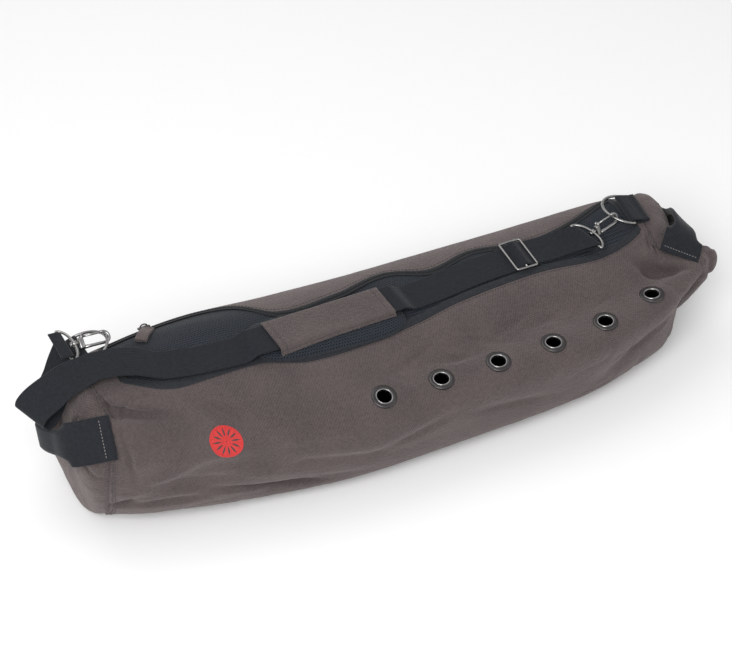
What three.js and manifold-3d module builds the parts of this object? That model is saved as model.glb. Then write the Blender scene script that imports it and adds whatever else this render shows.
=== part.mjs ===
// Yoga mat bag: a soft canvas tube with webbing handles on its two end caps, a knitted mesh panel closed by a
// zip along the top, six eyelets, and a shoulder strap with a pad, a slide adjuster and two swivel snap hooks
// on D-rings. It lies empty and slack on a flat surface. Millimetres, +X along the bag, -Y its front, +Z up.
import * as THREE from "three";
import { mergeVertices } from "three/addons/utils/BufferGeometryUtils.js";
import Module from "manifold-3d";

// Driving sizes of the bag
const LENGTH = 710; // cut length of the body cloth, seam to seam
const DIAMETER = 190; // of the bag when it is filled round
const CANVAS = 2; // thickness of the canvas
const MESH = 2.6; // thickness of the knitted mesh
const GAP = 0.4; // clearance between two pieces that are sewn or laid against each other
const SAG = 2.5; // how far the slack cloth has settled flat on the surface
const SEAM_GAP = 0.8; // clearance around the mesh panel and the zip, which meet the canvas on the curved top

// Driving sizes of the end caps. bulge: how far a cap domes out past its seam. gap: clearance at the seam.
const CAP = { bulge: { left: 20, right: 34 }, gap: 0.6, roundness: 0.6, rows: 4 };

// Driving sizes of the zip
const ZIP_WIDTH = 9;
const ZIP_RISE = 1.4; // height of the coil above its tape
const SLIDER = { length: 13, width: 9, height: 3.4, at: 0.165 };
const PULL = { length: 24, width: 13, thickness: 2.2, away: 4, yaw: 236 };

// Driving sizes of the eyelets
const EYELET_COUNT = 6;
const EYELET = { bore: 7.5, barrel: 8.6, flange: 13.2, rim: 1, bite: 0.2, chamfer: 1.8, sides: 12 };
const EYELET_ROW = { first: 0.431, last: 0.882, around: 49 };

// Driving sizes of the webbing
const WEB = 1.6; // thickness of all webbing
const STRAP_WIDTH = 38;
const HANDLE_WIDTH = 44;
const GRIP_WIDTH = 25; // the middle of a handle is folded in half
const GRIP_THICKNESS = 3.4;
const TAB = { width: 48, length: 30, rows: 3 };
const STRAP_TAIL = 10; // free end of the strap past the left hook
const DOUBLED = 24; // from the right hook's bar to where both layers of the strap lie on the bag
const WEAVE = { before: 9, after: 6, spread: 5.5, reach: 18, bare: 3 }; // how the strap climbs over the slide

// Driving sizes of the pad and of the sleeve around it
const PAD = { length: 166, width: 63, thickness: 7, edge: 1.6, at: -0.098, across: -0.034, ramp: 16 };
const SLEEVE = { length: 134, width: 45, thickness: 1.6, shift: 4 };

// Driving sizes of the hardware
const WIRE = 3; // diameter of rings, bails and hooks
const RING = { inside: 50, depth: 27 };
const SLIDE = { length: 27, width: 46, wire: 2.6, thickness: 2, bar: 1.6, corner: 3.8, at: 0.232 };
const HOOK = { length: 35, wire: 3.2, half: 5.6, block: 6, thickness: 5.2, slot: 2.8 };
const NECK = { barrel: 3.1, bore: 1.6, pin: 1.25, head: 2.3, length: 4 };
const GATE = { wire: 2.2, eye: 1.9, pin: 0.7, at: 6.2 };
const BAIL = { width: 42, depth: 9 };
const CLEAR = 0.3; // running clearance in the hardware

// How finely the cloth is faceted
const AROUND = 36;
const ROWS = 18;
const FINE = 4; // rows are up to this many times closer together at the ends of the bag
const WINDOW_ROWS = 18;
const STRAP_ROWS = 34;
const WEAVE_ROWS = 14;
const CAP_STEP = { radius: 0.01, around: 2 };
const TINY = 1e-9;

// Cross-sections of the body. at: share of the length. front, back, top, waist: shares of the diameter for
// the reach to the front and back, the height, and the height of the widest point. upper, lower: roundness of
// the upper and lower half, 1 for round and less for square.
const SECTIONS = [
  { at: 0.0, front: 0.33, back: 0.39, top: 0.84, waist: 0.44, upper: 0.9, lower: 0.92 },
  { at: 0.08, front: 0.42, back: 0.46, top: 0.84, waist: 0.39, upper: 0.9, lower: 0.8 },
  { at: 0.22, front: 0.53, back: 0.57, top: 0.8, waist: 0.33, upper: 0.9, lower: 0.66 },
  { at: 0.36, front: 0.62, back: 0.585, top: 0.72, waist: 0.28, upper: 0.9, lower: 0.62 },
  { at: 0.5, front: 0.64, back: 0.585, top: 0.66, waist: 0.26, upper: 0.9, lower: 0.62 },
  { at: 0.75, front: 0.65, back: 0.545, top: 0.63, waist: 0.26, upper: 0.88, lower: 0.62 },
  { at: 0.87, front: 0.57, back: 0.49, top: 0.64, waist: 0.29, upper: 0.82, lower: 0.66 },
  { at: 0.94, front: 0.5, back: 0.43, top: 0.655, waist: 0.33, upper: 0.76, lower: 0.72 },
  { at: 1.0, front: 0.37, back: 0.36, top: 0.66, waist: 0.38, upper: 0.76, lower: 0.85 },
];

// How far the two end seams stray along the bag. around: degrees from the top towards the front. left, right:
// shares of the diameter, along +X.
const END_SEAMS = [
  { around: 0, left: 0.2, right: -0.22 },
  { around: 26, left: 0.2, right: -0.24 },
  { around: 52, left: 0.19, right: -0.03 },
  { around: 75, left: 0.16, right: -0.02 },
  { around: 100, left: 0.13, right: -0.07 },
  { around: 135, left: 0.13, right: -0.18 },
  { around: 180, left: 0.1, right: -0.2 },
  { around: 270, left: 0.06, right: -0.12 },
  { around: 330, left: 0.16, right: -0.14 },
  { around: 360, left: 0.2, right: -0.22 },
];
const SEAM_REACH = 0.47; // how far from an end its strayed seam still pulls the cloth, share of the diameter

// Folds and dents of the body. at, around: where. turn: degrees away from the bag's length. long, wide, deep:
// shares of the diameter, deep being positive inwards.
const FOLDS = [
  { at: 0.07, around: 31, turn: 14, long: 0.34, wide: 0.07, deep: 0.05 },
  { at: 0.06, around: 16, turn: 0, long: 0.3, wide: 0.09, deep: -0.025 },
  { at: 0.19, around: 36, turn: 55, long: 0.2, wide: 0.1, deep: 0.03 },
  { at: 0.12, around: 84, turn: -20, long: 0.3, wide: 0.12, deep: 0.035 },
  { at: 0.3, around: 100, turn: -6, long: 0.3, wide: 0.1, deep: 0.035 },
  { at: 0.42, around: 78, turn: -4, long: 0.5, wide: 0.12, deep: -0.02 },
  { at: 0.57, around: 34, turn: -10, long: 0.4, wide: 0.08, deep: 0.02 },
  { at: 0.73, around: 28, turn: -8, long: 0.25, wide: 0.08, deep: 0.02 },
  { at: 0.93, around: 34, turn: -20, long: 0.17, wide: 0.12, deep: 0.07 },
  { at: 0.97, around: 96, turn: 70, long: 0.3, wide: 0.14, deep: 0.06 },
];

// Edges of the window in the top of the body. at: share of the length. near, far: degrees from the top.
const WINDOW = [
  { at: 0.088, near: 6, far: -38 },
  { at: 0.14, near: 18, far: -42 },
  { at: 0.2, near: 21, far: -43 },
  { at: 0.29, near: 19, far: -40 },
  { at: 0.35, near: 17, far: -18 },
  { at: 0.45, near: 15, far: -22 },
  { at: 0.535, near: 11, far: -31 },
  { at: 0.6, near: 7, far: -20 },
  { at: 0.68, near: 5, far: -27 },
  { at: 0.76, near: 5, far: -18 },
  { at: 0.85, near: 9, far: -23 },
  { at: 0.945, near: 3, far: -44 },
];

// D-rings and the hooks on them. x, y: place of the ring's straight bar, shares of the length and diameter.
// yaw, tilt, roll: how the ring lies. hook: where on its bow the hook sits, degrees from the middle. heading,
// slope, flat: how the hook lies, flat being 0 for level and 90 for upright.
const ENDS = {
  left: { x: -0.434, y: 0.28, yaw: 2, tilt: 14, roll: -13, hook: 0, heading: 3, slope: -9, flat: 32 },
  right: { x: 0.43, y: 0.12, yaw: 170, tilt: 14, roll: 5, hook: 38, heading: 14, slope: 4, flat: 65 },
};

// Shoulder strap. x, y: its middle line seen from above, shares of the length and the diameter.
const STRAP_LINE = [
  { x: -0.45, y: 0.052 },
  { x: -0.41, y: 0.065 },
  { x: -0.352, y: 0.045 },
  { x: -0.283, y: 0.016 },
  { x: -0.2, y: 0.012 },
  { x: -0.083, y: 0.022 },
  { x: 0.08, y: 0.045 },
  { x: 0.16, y: 0.068 },
  { x: 0.232, y: 0.07 },
  { x: 0.29, y: 0.055 },
];

// How high the strap stands over the bag where it crosses the left ring. x: share of the length.
const STRAP_RISE = [
  { x: -0.45, rise: 9.5 },
  { x: -0.38, rise: 8 },
  { x: -0.34, rise: 0 },
  { x: 0.3, rise: 0 },
];

// The free loop past the left end. out, aside, down: from the strap's last point on the bag, shares of the
// diameter, to the left, to the back and downwards. turn: share of the way from the heading of the strap on
// the bag to the heading of the loop. The first rows are the upper layer, the last ones the lower.
const LOOP = [
  { out: 0.09, aside: -0.005, down: 0.013, turn: 0.2 },
  { out: 0.163, aside: -0.016, down: 0.045, turn: 0.5 },
  { out: 0.22, aside: -0.03, down: 0.092, turn: 0.85 },
  { out: 0.258, aside: -0.045, down: 0.137, turn: 1 },
  { out: 0.282, aside: -0.053, down: 0.174, turn: 1 },
  { out: 0.284, aside: -0.053, down: 0.195, turn: 1 },
  { out: 0.268, aside: -0.042, down: 0.205, turn: 1 },
  { out: 0.226, aside: -0.005, down: 0.163, turn: 1 },
  { out: 0.163, aside: 0.053, down: 0.098, turn: 1 },
  { out: 0.095, aside: 0.116, down: 0.038, turn: 1 },
];
const LOOP_YAW = 38; // heading of the lower layer, back towards the bag

// Handles: a webbing loop from the front of each end cap's seam, over the cap, to the back of the seam.
// front, back: degrees from the top of the bag where it is sewn on. root: share of the length. path: how far
// it stands off the straight line between its roots, away from the bag and up, shares of the diameter.
const HANDLES = {
  left: {
    side: -1,
    front: 49,
    back: -104,
    root: 0.02,
    path: [
      { along: 0, out: 0, up: 0 },
      { along: 0.12, out: 0.19, up: 0.005 },
      { along: 0.3, out: 0.24, up: 0.005 },
      { along: 0.5, out: 0.26, up: 0.025 },
      { along: 0.7, out: 0.28, up: 0.05 },
      { along: 0.88, out: 0.26, up: 0.04 },
      { along: 1, out: 0, up: 0 },
    ],
  },
  right: {
    side: 1,
    front: 40,
    back: -106,
    root: 0.983,
    path: [
      { along: 0, out: 0, up: 0 },
      { along: 0.12, out: 0.08, up: 0.09 },
      { along: 0.25, out: 0.15, up: 0.13 },
      { along: 0.5, out: 0.22, up: 0.13 },
      { along: 0.75, out: 0.29, up: 0.05 },
      { along: 0.88, out: 0.26, up: 0.02 },
      { along: 1, out: 0, up: 0 },
    ],
  },
};

// along: share of the handle. fold: from 0 for flat webbing to 1 for the folded grip.
const GRIP = [
  { along: 0, fold: 0 },
  { along: 0.13, fold: 0 },
  { along: 0.28, fold: 1 },
  { along: 0.72, fold: 1 },
  { along: 0.87, fold: 0 },
  { along: 1, fold: 0 },
];
const GRIP_STEPS = 24;

const FIRST = WINDOW[0].at;
const LAST = WINDOW[WINDOW.length - 1].at;
const DEGREE = (Math.PI * DIAMETER) / 360; // one degree along the cloth of the filled round bag

const wasm = await Module();
wasm.setup();

const group = new THREE.Group();
const finishes = {
  canvas: new THREE.MeshStandardMaterial({ color: 0x5f5758, roughness: 0.95, metalness: 0 }),
  mesh: new THREE.MeshStandardMaterial({ color: 0x2a2e35, roughness: 0.9, metalness: 0 }),
  webbing: new THREE.MeshStandardMaterial({ color: 0x2f3237, roughness: 0.85, metalness: 0 }),
  zip: new THREE.MeshStandardMaterial({ color: 0x26282c, roughness: 0.6, metalness: 0 }),
  steel: new THREE.MeshStandardMaterial({ color: 0xb9b8b4, roughness: 0.28, metalness: 1 }),
  gunmetal: new THREE.MeshStandardMaterial({ color: 0x5b5c5e, roughness: 0.35, metalness: 1 }),
};

function addMesh(name, geometry, finish, parent = group) {
  const mesh = new THREE.Mesh(geometry, finishes[finish]);
  mesh.name = name;
  parent.add(mesh);
  return mesh;
}

// Vectors and tables

function vector(x, y, z) {
  return new THREE.Vector3(x, y, z);
}

function clamp(value, low, high) {
  return Math.min(Math.max(value, low), high);
}

function radians(degrees) {
  return (degrees * Math.PI) / 180;
}

// Smooth value of one column of a table at a place in its key column.
function read(table, key, place, column) {
  const last = table.length - 1;
  const at = clamp(place, table[0][key], table[last][key]);
  let i = 0;
  while (i < last - 1 && at > table[i + 1][key]) i += 1;
  const slope = (k) => {
    const before = Math.max(k - 1, 0);
    const after = Math.min(k + 1, last);
    return (table[after][column] - table[before][column]) / (table[after][key] - table[before][key]);
  };
  const span = table[i + 1][key] - table[i][key];
  const s = (at - table[i][key]) / span;
  return (
    (1 + 2 * s) * (1 - s) ** 2 * table[i][column] +
    s * (1 - s) ** 2 * span * slope(i) +
    s * s * (3 - 2 * s) * table[i + 1][column] +
    s * s * (s - 1) * span * slope(i + 1)
  );
}

// The bag's skin

function signedPower(value, power) {
  return Math.abs(value) < TINY ? 0 : Math.sign(value) * Math.abs(value) ** power;
}

// Point of the smooth body, without folds, at a share of the length and an angle from the top.
function form(share, around) {
  const turn = ((around % 360) + 360) % 360;
  const section = (column) => read(SECTIONS, "at", share, column) * DIAMETER;
  const power = read(SECTIONS, "at", share, Math.cos(radians(turn)) > 0 ? "upper" : "lower");
  const rise = signedPower(Math.cos(radians(turn)), power);
  const reach = signedPower(Math.sin(radians(turn)), power);
  const waist = section("waist") + SAG;
  const height = rise > 0 ? waist + (section("top") - waist) * rise : waist + waist * rise;
  const side = reach > 0 ? section("front") * reach : section("back") * reach;
  const x = (share - 0.5) * LENGTH;
  const pull = (distance, column) => {
    const near = clamp(1 - distance / (SEAM_REACH * DIAMETER), 0, 1);
    return near * near * read(END_SEAMS, "around", turn, column) * DIAMETER;
  };
  return vector(x + pull(share * LENGTH, "left") + pull((1 - share) * LENGTH, "right"), -side, height - SAG);
}

// Depth of all folds at a place on the cloth laid out flat.
function foldDepth(share, around) {
  const turn = ((around + 180) % 360) - 180;
  return FOLDS.reduce((sum, fold) => {
    const x = (share - fold.at) * LENGTH;
    const y = ((turn - fold.around) / 360) * Math.PI * DIAMETER;
    const c = Math.cos(radians(fold.turn));
    const s = Math.sin(radians(fold.turn));
    const long = (x * c + y * s) / (fold.long * DIAMETER);
    const wide = (y * c - x * s) / (fold.wide * DIAMETER);
    return sum + fold.deep * DIAMETER * Math.exp(-long * long - wide * wide);
  }, 0);
}

// Outward direction of a surface that is given as a function of two numbers.
function outward(surface, a, b, stepA, stepB) {
  const alongA = surface(a + stepA, b).sub(surface(a - stepA, b));
  const alongB = surface(a, b + stepB).sub(surface(a, b - stepB));
  return alongA.cross(alongB).normalize();
}

function folded(share, around) {
  const normal = outward(form, share, around, 0.002, 1).negate();
  return form(share, around).addScaledVector(normal, -foldDepth(share, around));
}

function bodyNormal(share, around) {
  return outward(folded, share, around, 0.003, 1.5).negate();
}

// Point at a depth under the outer face of the body. The cloth lies flat where it meets the surface.
function skin(share, around, depth = 0) {
  const point = folded(share, around).addScaledVector(bodyNormal(share, around), -depth);
  point.z = Math.max(point.z, Math.max(depth, 0));
  return point;
}

// Place on the skin above a point of the plan view.
function placeAbove(x, y) {
  let share = x / LENGTH + 0.5;
  let around = 0;
  for (let step = 0; step < 12; step += 1) {
    const point = skin(share, around);
    share += (x - point.x) / LENGTH;
    around -= clamp((y - point.y) / 2.6, -12, 12);
    share = clamp(share, 0, 1);
    around = clamp(around, -75, 75);
  }
  return { share, around };
}

function heightAbove(x, y) {
  const place = placeAbove(x, y);
  return skin(place.share, place.around).z;
}

// Bent shapes

function volume(geometry) {
  const corner = [0, 1, 2].map(() => vector(0, 0, 0));
  const index = geometry.getIndex();
  const position = geometry.getAttribute("position");
  let sum = 0;
  for (let i = 0; i < index.count; i += 3) {
    corner.forEach((p, k) => p.fromBufferAttribute(position, index.getX(i + k)));
    sum += corner[0].dot(corner[1].clone().cross(corner[2])) / 6;
  }
  return sum;
}

function turnedInsideOut(geometry) {
  const index = geometry.getIndex();
  for (let i = 0; i < index.count; i += 3) {
    const second = index.getX(i + 1);
    index.setX(i + 1, index.getX(i + 2));
    index.setX(i + 2, second);
  }
  return geometry;
}

function remap(geometry, map) {
  const flat = new THREE.BufferGeometry();
  const position = geometry.getAttribute("position").clone();
  for (let i = 0; i < position.count; i += 1) {
    const point = map(vector(position.getX(i), position.getY(i), position.getZ(i)));
    position.setXYZ(i, point.x, point.y, point.z);
  }
  flat.setAttribute("position", position);
  flat.setIndex(geometry.getIndex());
  const closed = mergeVertices(flat, 1e-3);
  return volume(closed) < 0 ? turnedInsideOut(closed) : closed;
}

// A sheet of cloth: map(across, along, layer), each from 0 to 1, gives the points, layer 1 being its face.
function sheet(columns, rows, map) {
  const flat = new THREE.BoxGeometry(1, 1, 1, columns, 1, rows);
  return remap(flat, (p) => map(p.x + 0.5, p.z + 0.5, p.y + 0.5));
}

// Rows that lie closer together at both ends.
function spacing(share) {
  const even = 1 / (1 + (FINE - 1) / 4);
  return share * even + (1 - even) * (share < 0.5 ? 2 * share * share : 1 - 2 * (1 - share) ** 2);
}

// A tube of cloth: map(along, around, layer).
function sleeveTube(rows, map) {
  const outline = [];
  for (let i = 0; i <= rows; i += 1) outline.push(new THREE.Vector2(2, i / rows));
  for (let i = rows; i >= 0; i -= 1) outline.push(new THREE.Vector2(1, i / rows));
  outline.push(outline[0].clone());
  return remap(new THREE.LatheGeometry(outline.reverse(), AROUND), (p) =>
    map(p.y, (Math.atan2(p.x, p.z) * 180) / Math.PI, Math.hypot(p.x, p.z) - 1),
  );
}

function solid(geometry) {
  const merged = new THREE.BufferGeometry();
  merged.setAttribute("position", geometry.getAttribute("position"));
  merged.setIndex(geometry.getIndex());
  const closed = mergeVertices(merged, 1e-3);
  return new wasm.Manifold(
    new wasm.Mesh({
      numProp: 3,
      vertProperties: closed.getAttribute("position").array,
      triVerts: new Uint32Array(closed.getIndex().array),
    }),
  );
}

function geometryOf(manifold) {
  const mesh = manifold.getMesh();
  const geometry = new THREE.BufferGeometry();
  geometry.setAttribute("position", new THREE.BufferAttribute(new Float32Array(mesh.vertProperties), 3));
  geometry.setIndex(new THREE.BufferAttribute(new Uint32Array(mesh.triVerts), 1));
  return geometry;
}

function turned(direction, origin, upHint = vector(0, 0, 1)) {
  const z = direction.clone().normalize();
  const x = upHint.clone().cross(z).normalize();
  const y = z.clone().cross(x);
  return new THREE.Matrix4().makeBasis(x, y, z).setPosition(origin);
}

// Body, end caps, mesh panel and zip

function windowEdge(share, column) {
  return read(WINDOW, "at", share, column);
}

function windowShare(along, margin) {
  const inset = margin / LENGTH;
  return FIRST + inset + (LAST - FIRST - 2 * inset) * along;
}

function buildWindowCutter() {
  return sheet(5, WINDOW_ROWS, (across, along, layer) => {
    const share = windowShare(along, 0);
    const near = windowEdge(share, "near");
    const far = windowEdge(share, "far");
    return skin(share, near + (far - near) * across, (0.5 - layer) * 6 * CANVAS);
  });
}

function buildMeshPanel() {
  return sheet(5, WINDOW_ROWS, (across, along, layer) => {
    const share = windowShare(along, SEAM_GAP);
    const near = windowEdge(share, "near") - SEAM_GAP / DEGREE;
    const far = windowEdge(share, "far") + (ZIP_WIDTH + 2 * SEAM_GAP) / DEGREE;
    return skin(share, near + (far - near) * across, (1 - layer) * MESH);
  });
}

function buildZip() {
  return sheet(2, WINDOW_ROWS, (across, along, layer) => {
    const share = windowShare(along, SEAM_GAP);
    const start = windowEdge(share, "far") + SEAM_GAP / DEGREE;
    const coil = layer * ZIP_RISE * Math.sin(Math.PI * across) ** 2;
    return skin(share, start + (ZIP_WIDTH / DEGREE) * (1 - across), (1 - layer) * CANVAS - coil);
  });
}

function eyeletShare(index) {
  return EYELET_ROW.first + ((EYELET_ROW.last - EYELET_ROW.first) * index) / (EYELET_COUNT - 1);
}

function eyeletFrame(index) {
  const share = eyeletShare(index);
  const seat = skin(share, EYELET_ROW.around, CANVAS / 2);
  return turned(bodyNormal(share, EYELET_ROW.around), seat, vector(1, 0, 0));
}

// An eyelet clamps the cloth between two rims on a barrel. Its axis is +Z here, its middle at the origin.
function eyeletOutline(clearance, chamfer) {
  const inner = CANVAS / 2 - EYELET.bite - clearance;
  const outer = inner + EYELET.rim + 2 * clearance;
  const flange = EYELET.flange + clearance;
  const barrel = EYELET.barrel + clearance;
  return [
    [EYELET.bore, -outer],
    [flange - chamfer, -outer],
    [flange, -inner],
    [barrel, -inner],
    [barrel, inner],
    [flange, inner],
    [flange - chamfer, outer],
    [EYELET.bore, outer],
  ].map(([x, y]) => new THREE.Vector2(x, y));
}

function buildEyelet(index) {
  const outline = eyeletOutline(0, EYELET.chamfer);
  outline.push(outline[0].clone());
  return new THREE.LatheGeometry(outline, EYELET.sides).rotateX(Math.PI / 2).applyMatrix4(eyeletFrame(index));
}

function buildEyeletCutter(index) {
  const outline = eyeletOutline(CLEAR, 0).slice(1, -1);
  const bottom = outline[0].y;
  const top = outline[outline.length - 1].y;
  outline.unshift(new THREE.Vector2(0, bottom));
  outline.push(new THREE.Vector2(0, top));
  return new THREE.LatheGeometry(outline, EYELET.sides).rotateX(Math.PI / 2).applyMatrix4(eyeletFrame(index));
}

function buildBody() {
  const tube = sleeveTube(ROWS, (along, around, layer) => skin(spacing(along), around, (1 - layer) * CANVAS));
  let body = solid(tube).subtract(solid(buildWindowCutter()));
  for (let i = 0; i < EYELET_COUNT; i += 1) body = body.subtract(solid(buildEyeletCutter(i)));
  return geometryOf(body);
}

// An end cap is a dome of canvas. radius: from 0 in its middle to 1 at its seam. side: -1 left, 1 right.
function capCentre(side) {
  const share = side < 0 ? 0 : 1;
  const centre = vector(0, 0, 0);
  for (let i = 0; i < 12; i += 1) centre.addScaledVector(folded(share, i * 30), 1 / 12);
  return centre;
}

// Direction in the cloth that leads straight away from the body at its end seam.
function seamOutward(side, around) {
  const share = side < 0 ? 0 : 1;
  const along = folded(share, around + 2).sub(folded(share, around - 2));
  const out = along.cross(bodyNormal(share, around)).normalize();
  return out.x * side < 0 ? out.negate() : out;
}

function capFace(side, centre, radius, around) {
  const ring = folded(side < 0 ? 0 : 1, around);
  const reach = Math.sin((radius * Math.PI) / 2) ** CAP.roundness;
  const bulge = Math.max(Math.cos((radius * Math.PI) / 2), 0) ** CAP.roundness;
  const point = centre.clone().lerp(ring, reach);
  point.x += side * (side < 0 ? CAP.bulge.left : CAP.bulge.right) * bulge;
  return point;
}

function capNormal(side, centre, radius, around) {
  if (radius < TINY) return vector(side, 0, 0);
  const face = (r, t) => capFace(side, centre, r, t);
  const normal = outward(face, radius, around, CAP_STEP.radius, CAP_STEP.around);
  return normal.x * side < 0 ? normal.negate() : normal;
}

function buildCap(side) {
  const centre = capCentre(side);
  const outline = [];
  for (let i = 0; i <= CAP.rows; i += 1) outline.push(new THREE.Vector2(i / CAP.rows, 1));
  for (let i = CAP.rows; i >= 0; i -= 1) outline.push(new THREE.Vector2(i / CAP.rows, 0));
  return remap(new THREE.LatheGeometry(outline, AROUND), (p) => {
    const radius = Math.hypot(p.x, p.z);
    const around = (Math.atan2(p.x, p.z) * 180) / Math.PI;
    const depth = (1 - p.y) * CANVAS;
    const share = side < 0 ? 0 : 1;
    if (radius > 0.999) return skin(share, around, depth).addScaledVector(seamOutward(side, around), CAP.gap);
    const normal = capNormal(side, centre, radius, around);
    const point = capFace(side, centre, radius, around).addScaledVector(normal, -depth);
    point.x += side * GAP;
    point.z = Math.max(point.z, depth);
    return point;
  });
}

// Webbing

// A ribbon of webbing over stations. Each has its middle point, half its width as a vector and its thickness.
function ribbon(stations) {
  const last = stations.length - 1;
  return sheet(1, last, (across, along, layer) => {
    const i = Math.round(along * last);
    const station = stations[i];
    const ahead = stations[Math.min(i + 1, last)].point;
    const behind = stations[Math.max(i - 1, 0)].point;
    const face = ahead.clone().sub(behind).cross(station.side).normalize();
    return station.point
      .clone()
      .addScaledVector(station.side, 2 * across - 1)
      .addScaledVector(face, (layer - 0.5) * station.thickness);
  });
}

// Half a turn around a bar, from one face of the ribbon to the other.
function wrap(bar, out, up, side, steps = 6) {
  const reach = WIRE / 2 + CLEAR + WEB / 2;
  const stations = [];
  for (let i = 0; i <= steps; i += 1) {
    const angle = (Math.PI * i) / steps;
    const point = bar.clone().addScaledVector(out, reach * Math.sin(angle));
    point.addScaledVector(up, -reach * Math.cos(angle));
    stations.push({ point, side: side.clone(), thickness: WEB });
  }
  return stations;
}

function heading(yaw, slope) {
  const flat = Math.cos(radians(slope));
  return vector(Math.cos(radians(yaw)) * flat, Math.sin(radians(yaw)) * flat, Math.sin(radians(slope)));
}

// Height at which a strip of half a width rests across the bag.
function restingHeight(x, y, side) {
  const heights = [-1, -0.5, 0, 0.5, 1].flatMap((k) =>
    [-4, 0, 4].map((near) => heightAbove(x + near + side.x * k, y + side.y * k) - side.z * k),
  );
  return Math.max(...heights);
}

function ringFrame(end) {
  const flat = heading(end.yaw, 0);
  const across = vector(0, 0, 1).cross(flat).multiplyScalar(Math.cos(radians(end.roll)));
  across.z = Math.sin(radians(end.roll));
  const x = end.x * LENGTH;
  const y = end.y * DIAMETER;
  const half = across.clone().multiplyScalar(TAB.width / 2);
  const bar = vector(x, y, restingHeight(x, y, half) + GAP + WEB + CLEAR + WIRE / 2);
  const bow = heading(end.yaw, end.tilt);
  return { bar, bow, across, up: bow.clone().cross(across), flat };
}

function ringPoint(frame, degrees, depth, width) {
  const c = Math.max(Math.cos(radians(degrees)), 0);
  return frame.bar
    .clone()
    .addScaledVector(frame.bow, depth * c)
    .addScaledVector(frame.across, (width / 2) * Math.sin(radians(degrees)));
}

// A closed loop of wire, straight along its bar and bowed on the other side.
function buildLoop(frame, depth, width, wire, steps) {
  const path = (degrees) => ringPoint(frame, degrees, depth, width);
  return remap(new THREE.TorusGeometry(4, 1, 6, steps), (p) => {
    const degrees = (Math.atan2(p.y, p.x) * 180) / Math.PI;
    const ahead = path(degrees + 3).sub(path(degrees - 3));
    const out = ahead.cross(frame.up).normalize();
    return path(degrees)
      .addScaledVector(out, ((Math.hypot(p.x, p.y) - 4) * wire) / 2)
      .addScaledVector(frame.up, (p.z * wire) / 2);
  });
}

function buildRing(end) {
  return buildLoop(ringFrame(end), RING.depth, RING.inside + WIRE, WIRE, 28);
}

function buildTab(end) {
  const frame = ringFrame(end);
  const side = frame.across.clone().multiplyScalar(TAB.width / 2);
  const up = frame.flat.clone().cross(frame.across);
  const loop = wrap(frame.bar, frame.flat, up, side);
  const reach = WIRE / 2 + CLEAR + WEB / 2;
  const lower = [];
  const upper = [];
  for (let i = TAB.rows; i > 0; i -= 1) {
    const share = i / TAB.rows;
    const point = frame.bar.clone().addScaledVector(frame.flat, -TAB.length * share);
    const rest = restingHeight(point.x, point.y, side) + GAP + WEB / 2;
    const spread = 2 * reach + (WEB + GAP - 2 * reach) * Math.min(1, share * 1.5);
    point.z = rest;
    lower.push({ point, side, thickness: WEB });
    upper.unshift({ point: point.clone().addScaledVector(up, spread), side, thickness: WEB });
  }
  return ribbon([...lower, ...loop, ...upper]);
}

// Swivel snap hooks. In a hook's own frame +X runs from its swivel to its nose, and the hook lies in XY.
// half is half the distance between its two legs. The gate closes the open leg.
const PIVOT = { x: GATE.at, y: HOOK.half - CLEAR };
const BLOCK_START = 2; // from the swivel to the block that both legs grow from
const OPENING = 2; // the open leg ends this far before its bend

function hookFrame(end) {
  const ring = ringFrame(end);
  const width = RING.inside + WIRE;
  const wire = ringPoint(ring, end.hook, RING.depth, width);
  const forward = heading(end.heading, end.slope);
  const level = vector(0, 0, 1).cross(forward).normalize();
  const lateral = level.applyAxisAngle(forward, radians(end.flat));
  const normal = forward.clone().cross(lateral);
  const swivel = wire.addScaledVector(forward, -(HOOK.length - HOOK.wire - CLEAR - WIRE / 2));
  return new THREE.Matrix4().makeBasis(forward, lateral, normal).setPosition(swivel);
}

function rod(radius, length, sides = 10) {
  return new THREE.CylinderGeometry(radius, radius, length, sides);
}

function roundedRectangle(outline, middle, width, height, radius) {
  const x = width / 2 - radius;
  const y = height / 2 - radius;
  const turn = Math.PI / 2;
  return outline
    .absarc(middle + x, y, radius, 0, turn)
    .absarc(middle - x, y, radius, turn, 2 * turn)
    .absarc(middle - x, -y, radius, 2 * turn, 3 * turn)
    .absarc(middle + x, -y, radius, 3 * turn, 4 * turn);
}

function circle(radius, sides) {
  return new THREE.Shape(new THREE.EllipseCurve(0, 0, radius, radius).getPoints(sides).slice(0, sides));
}

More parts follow.
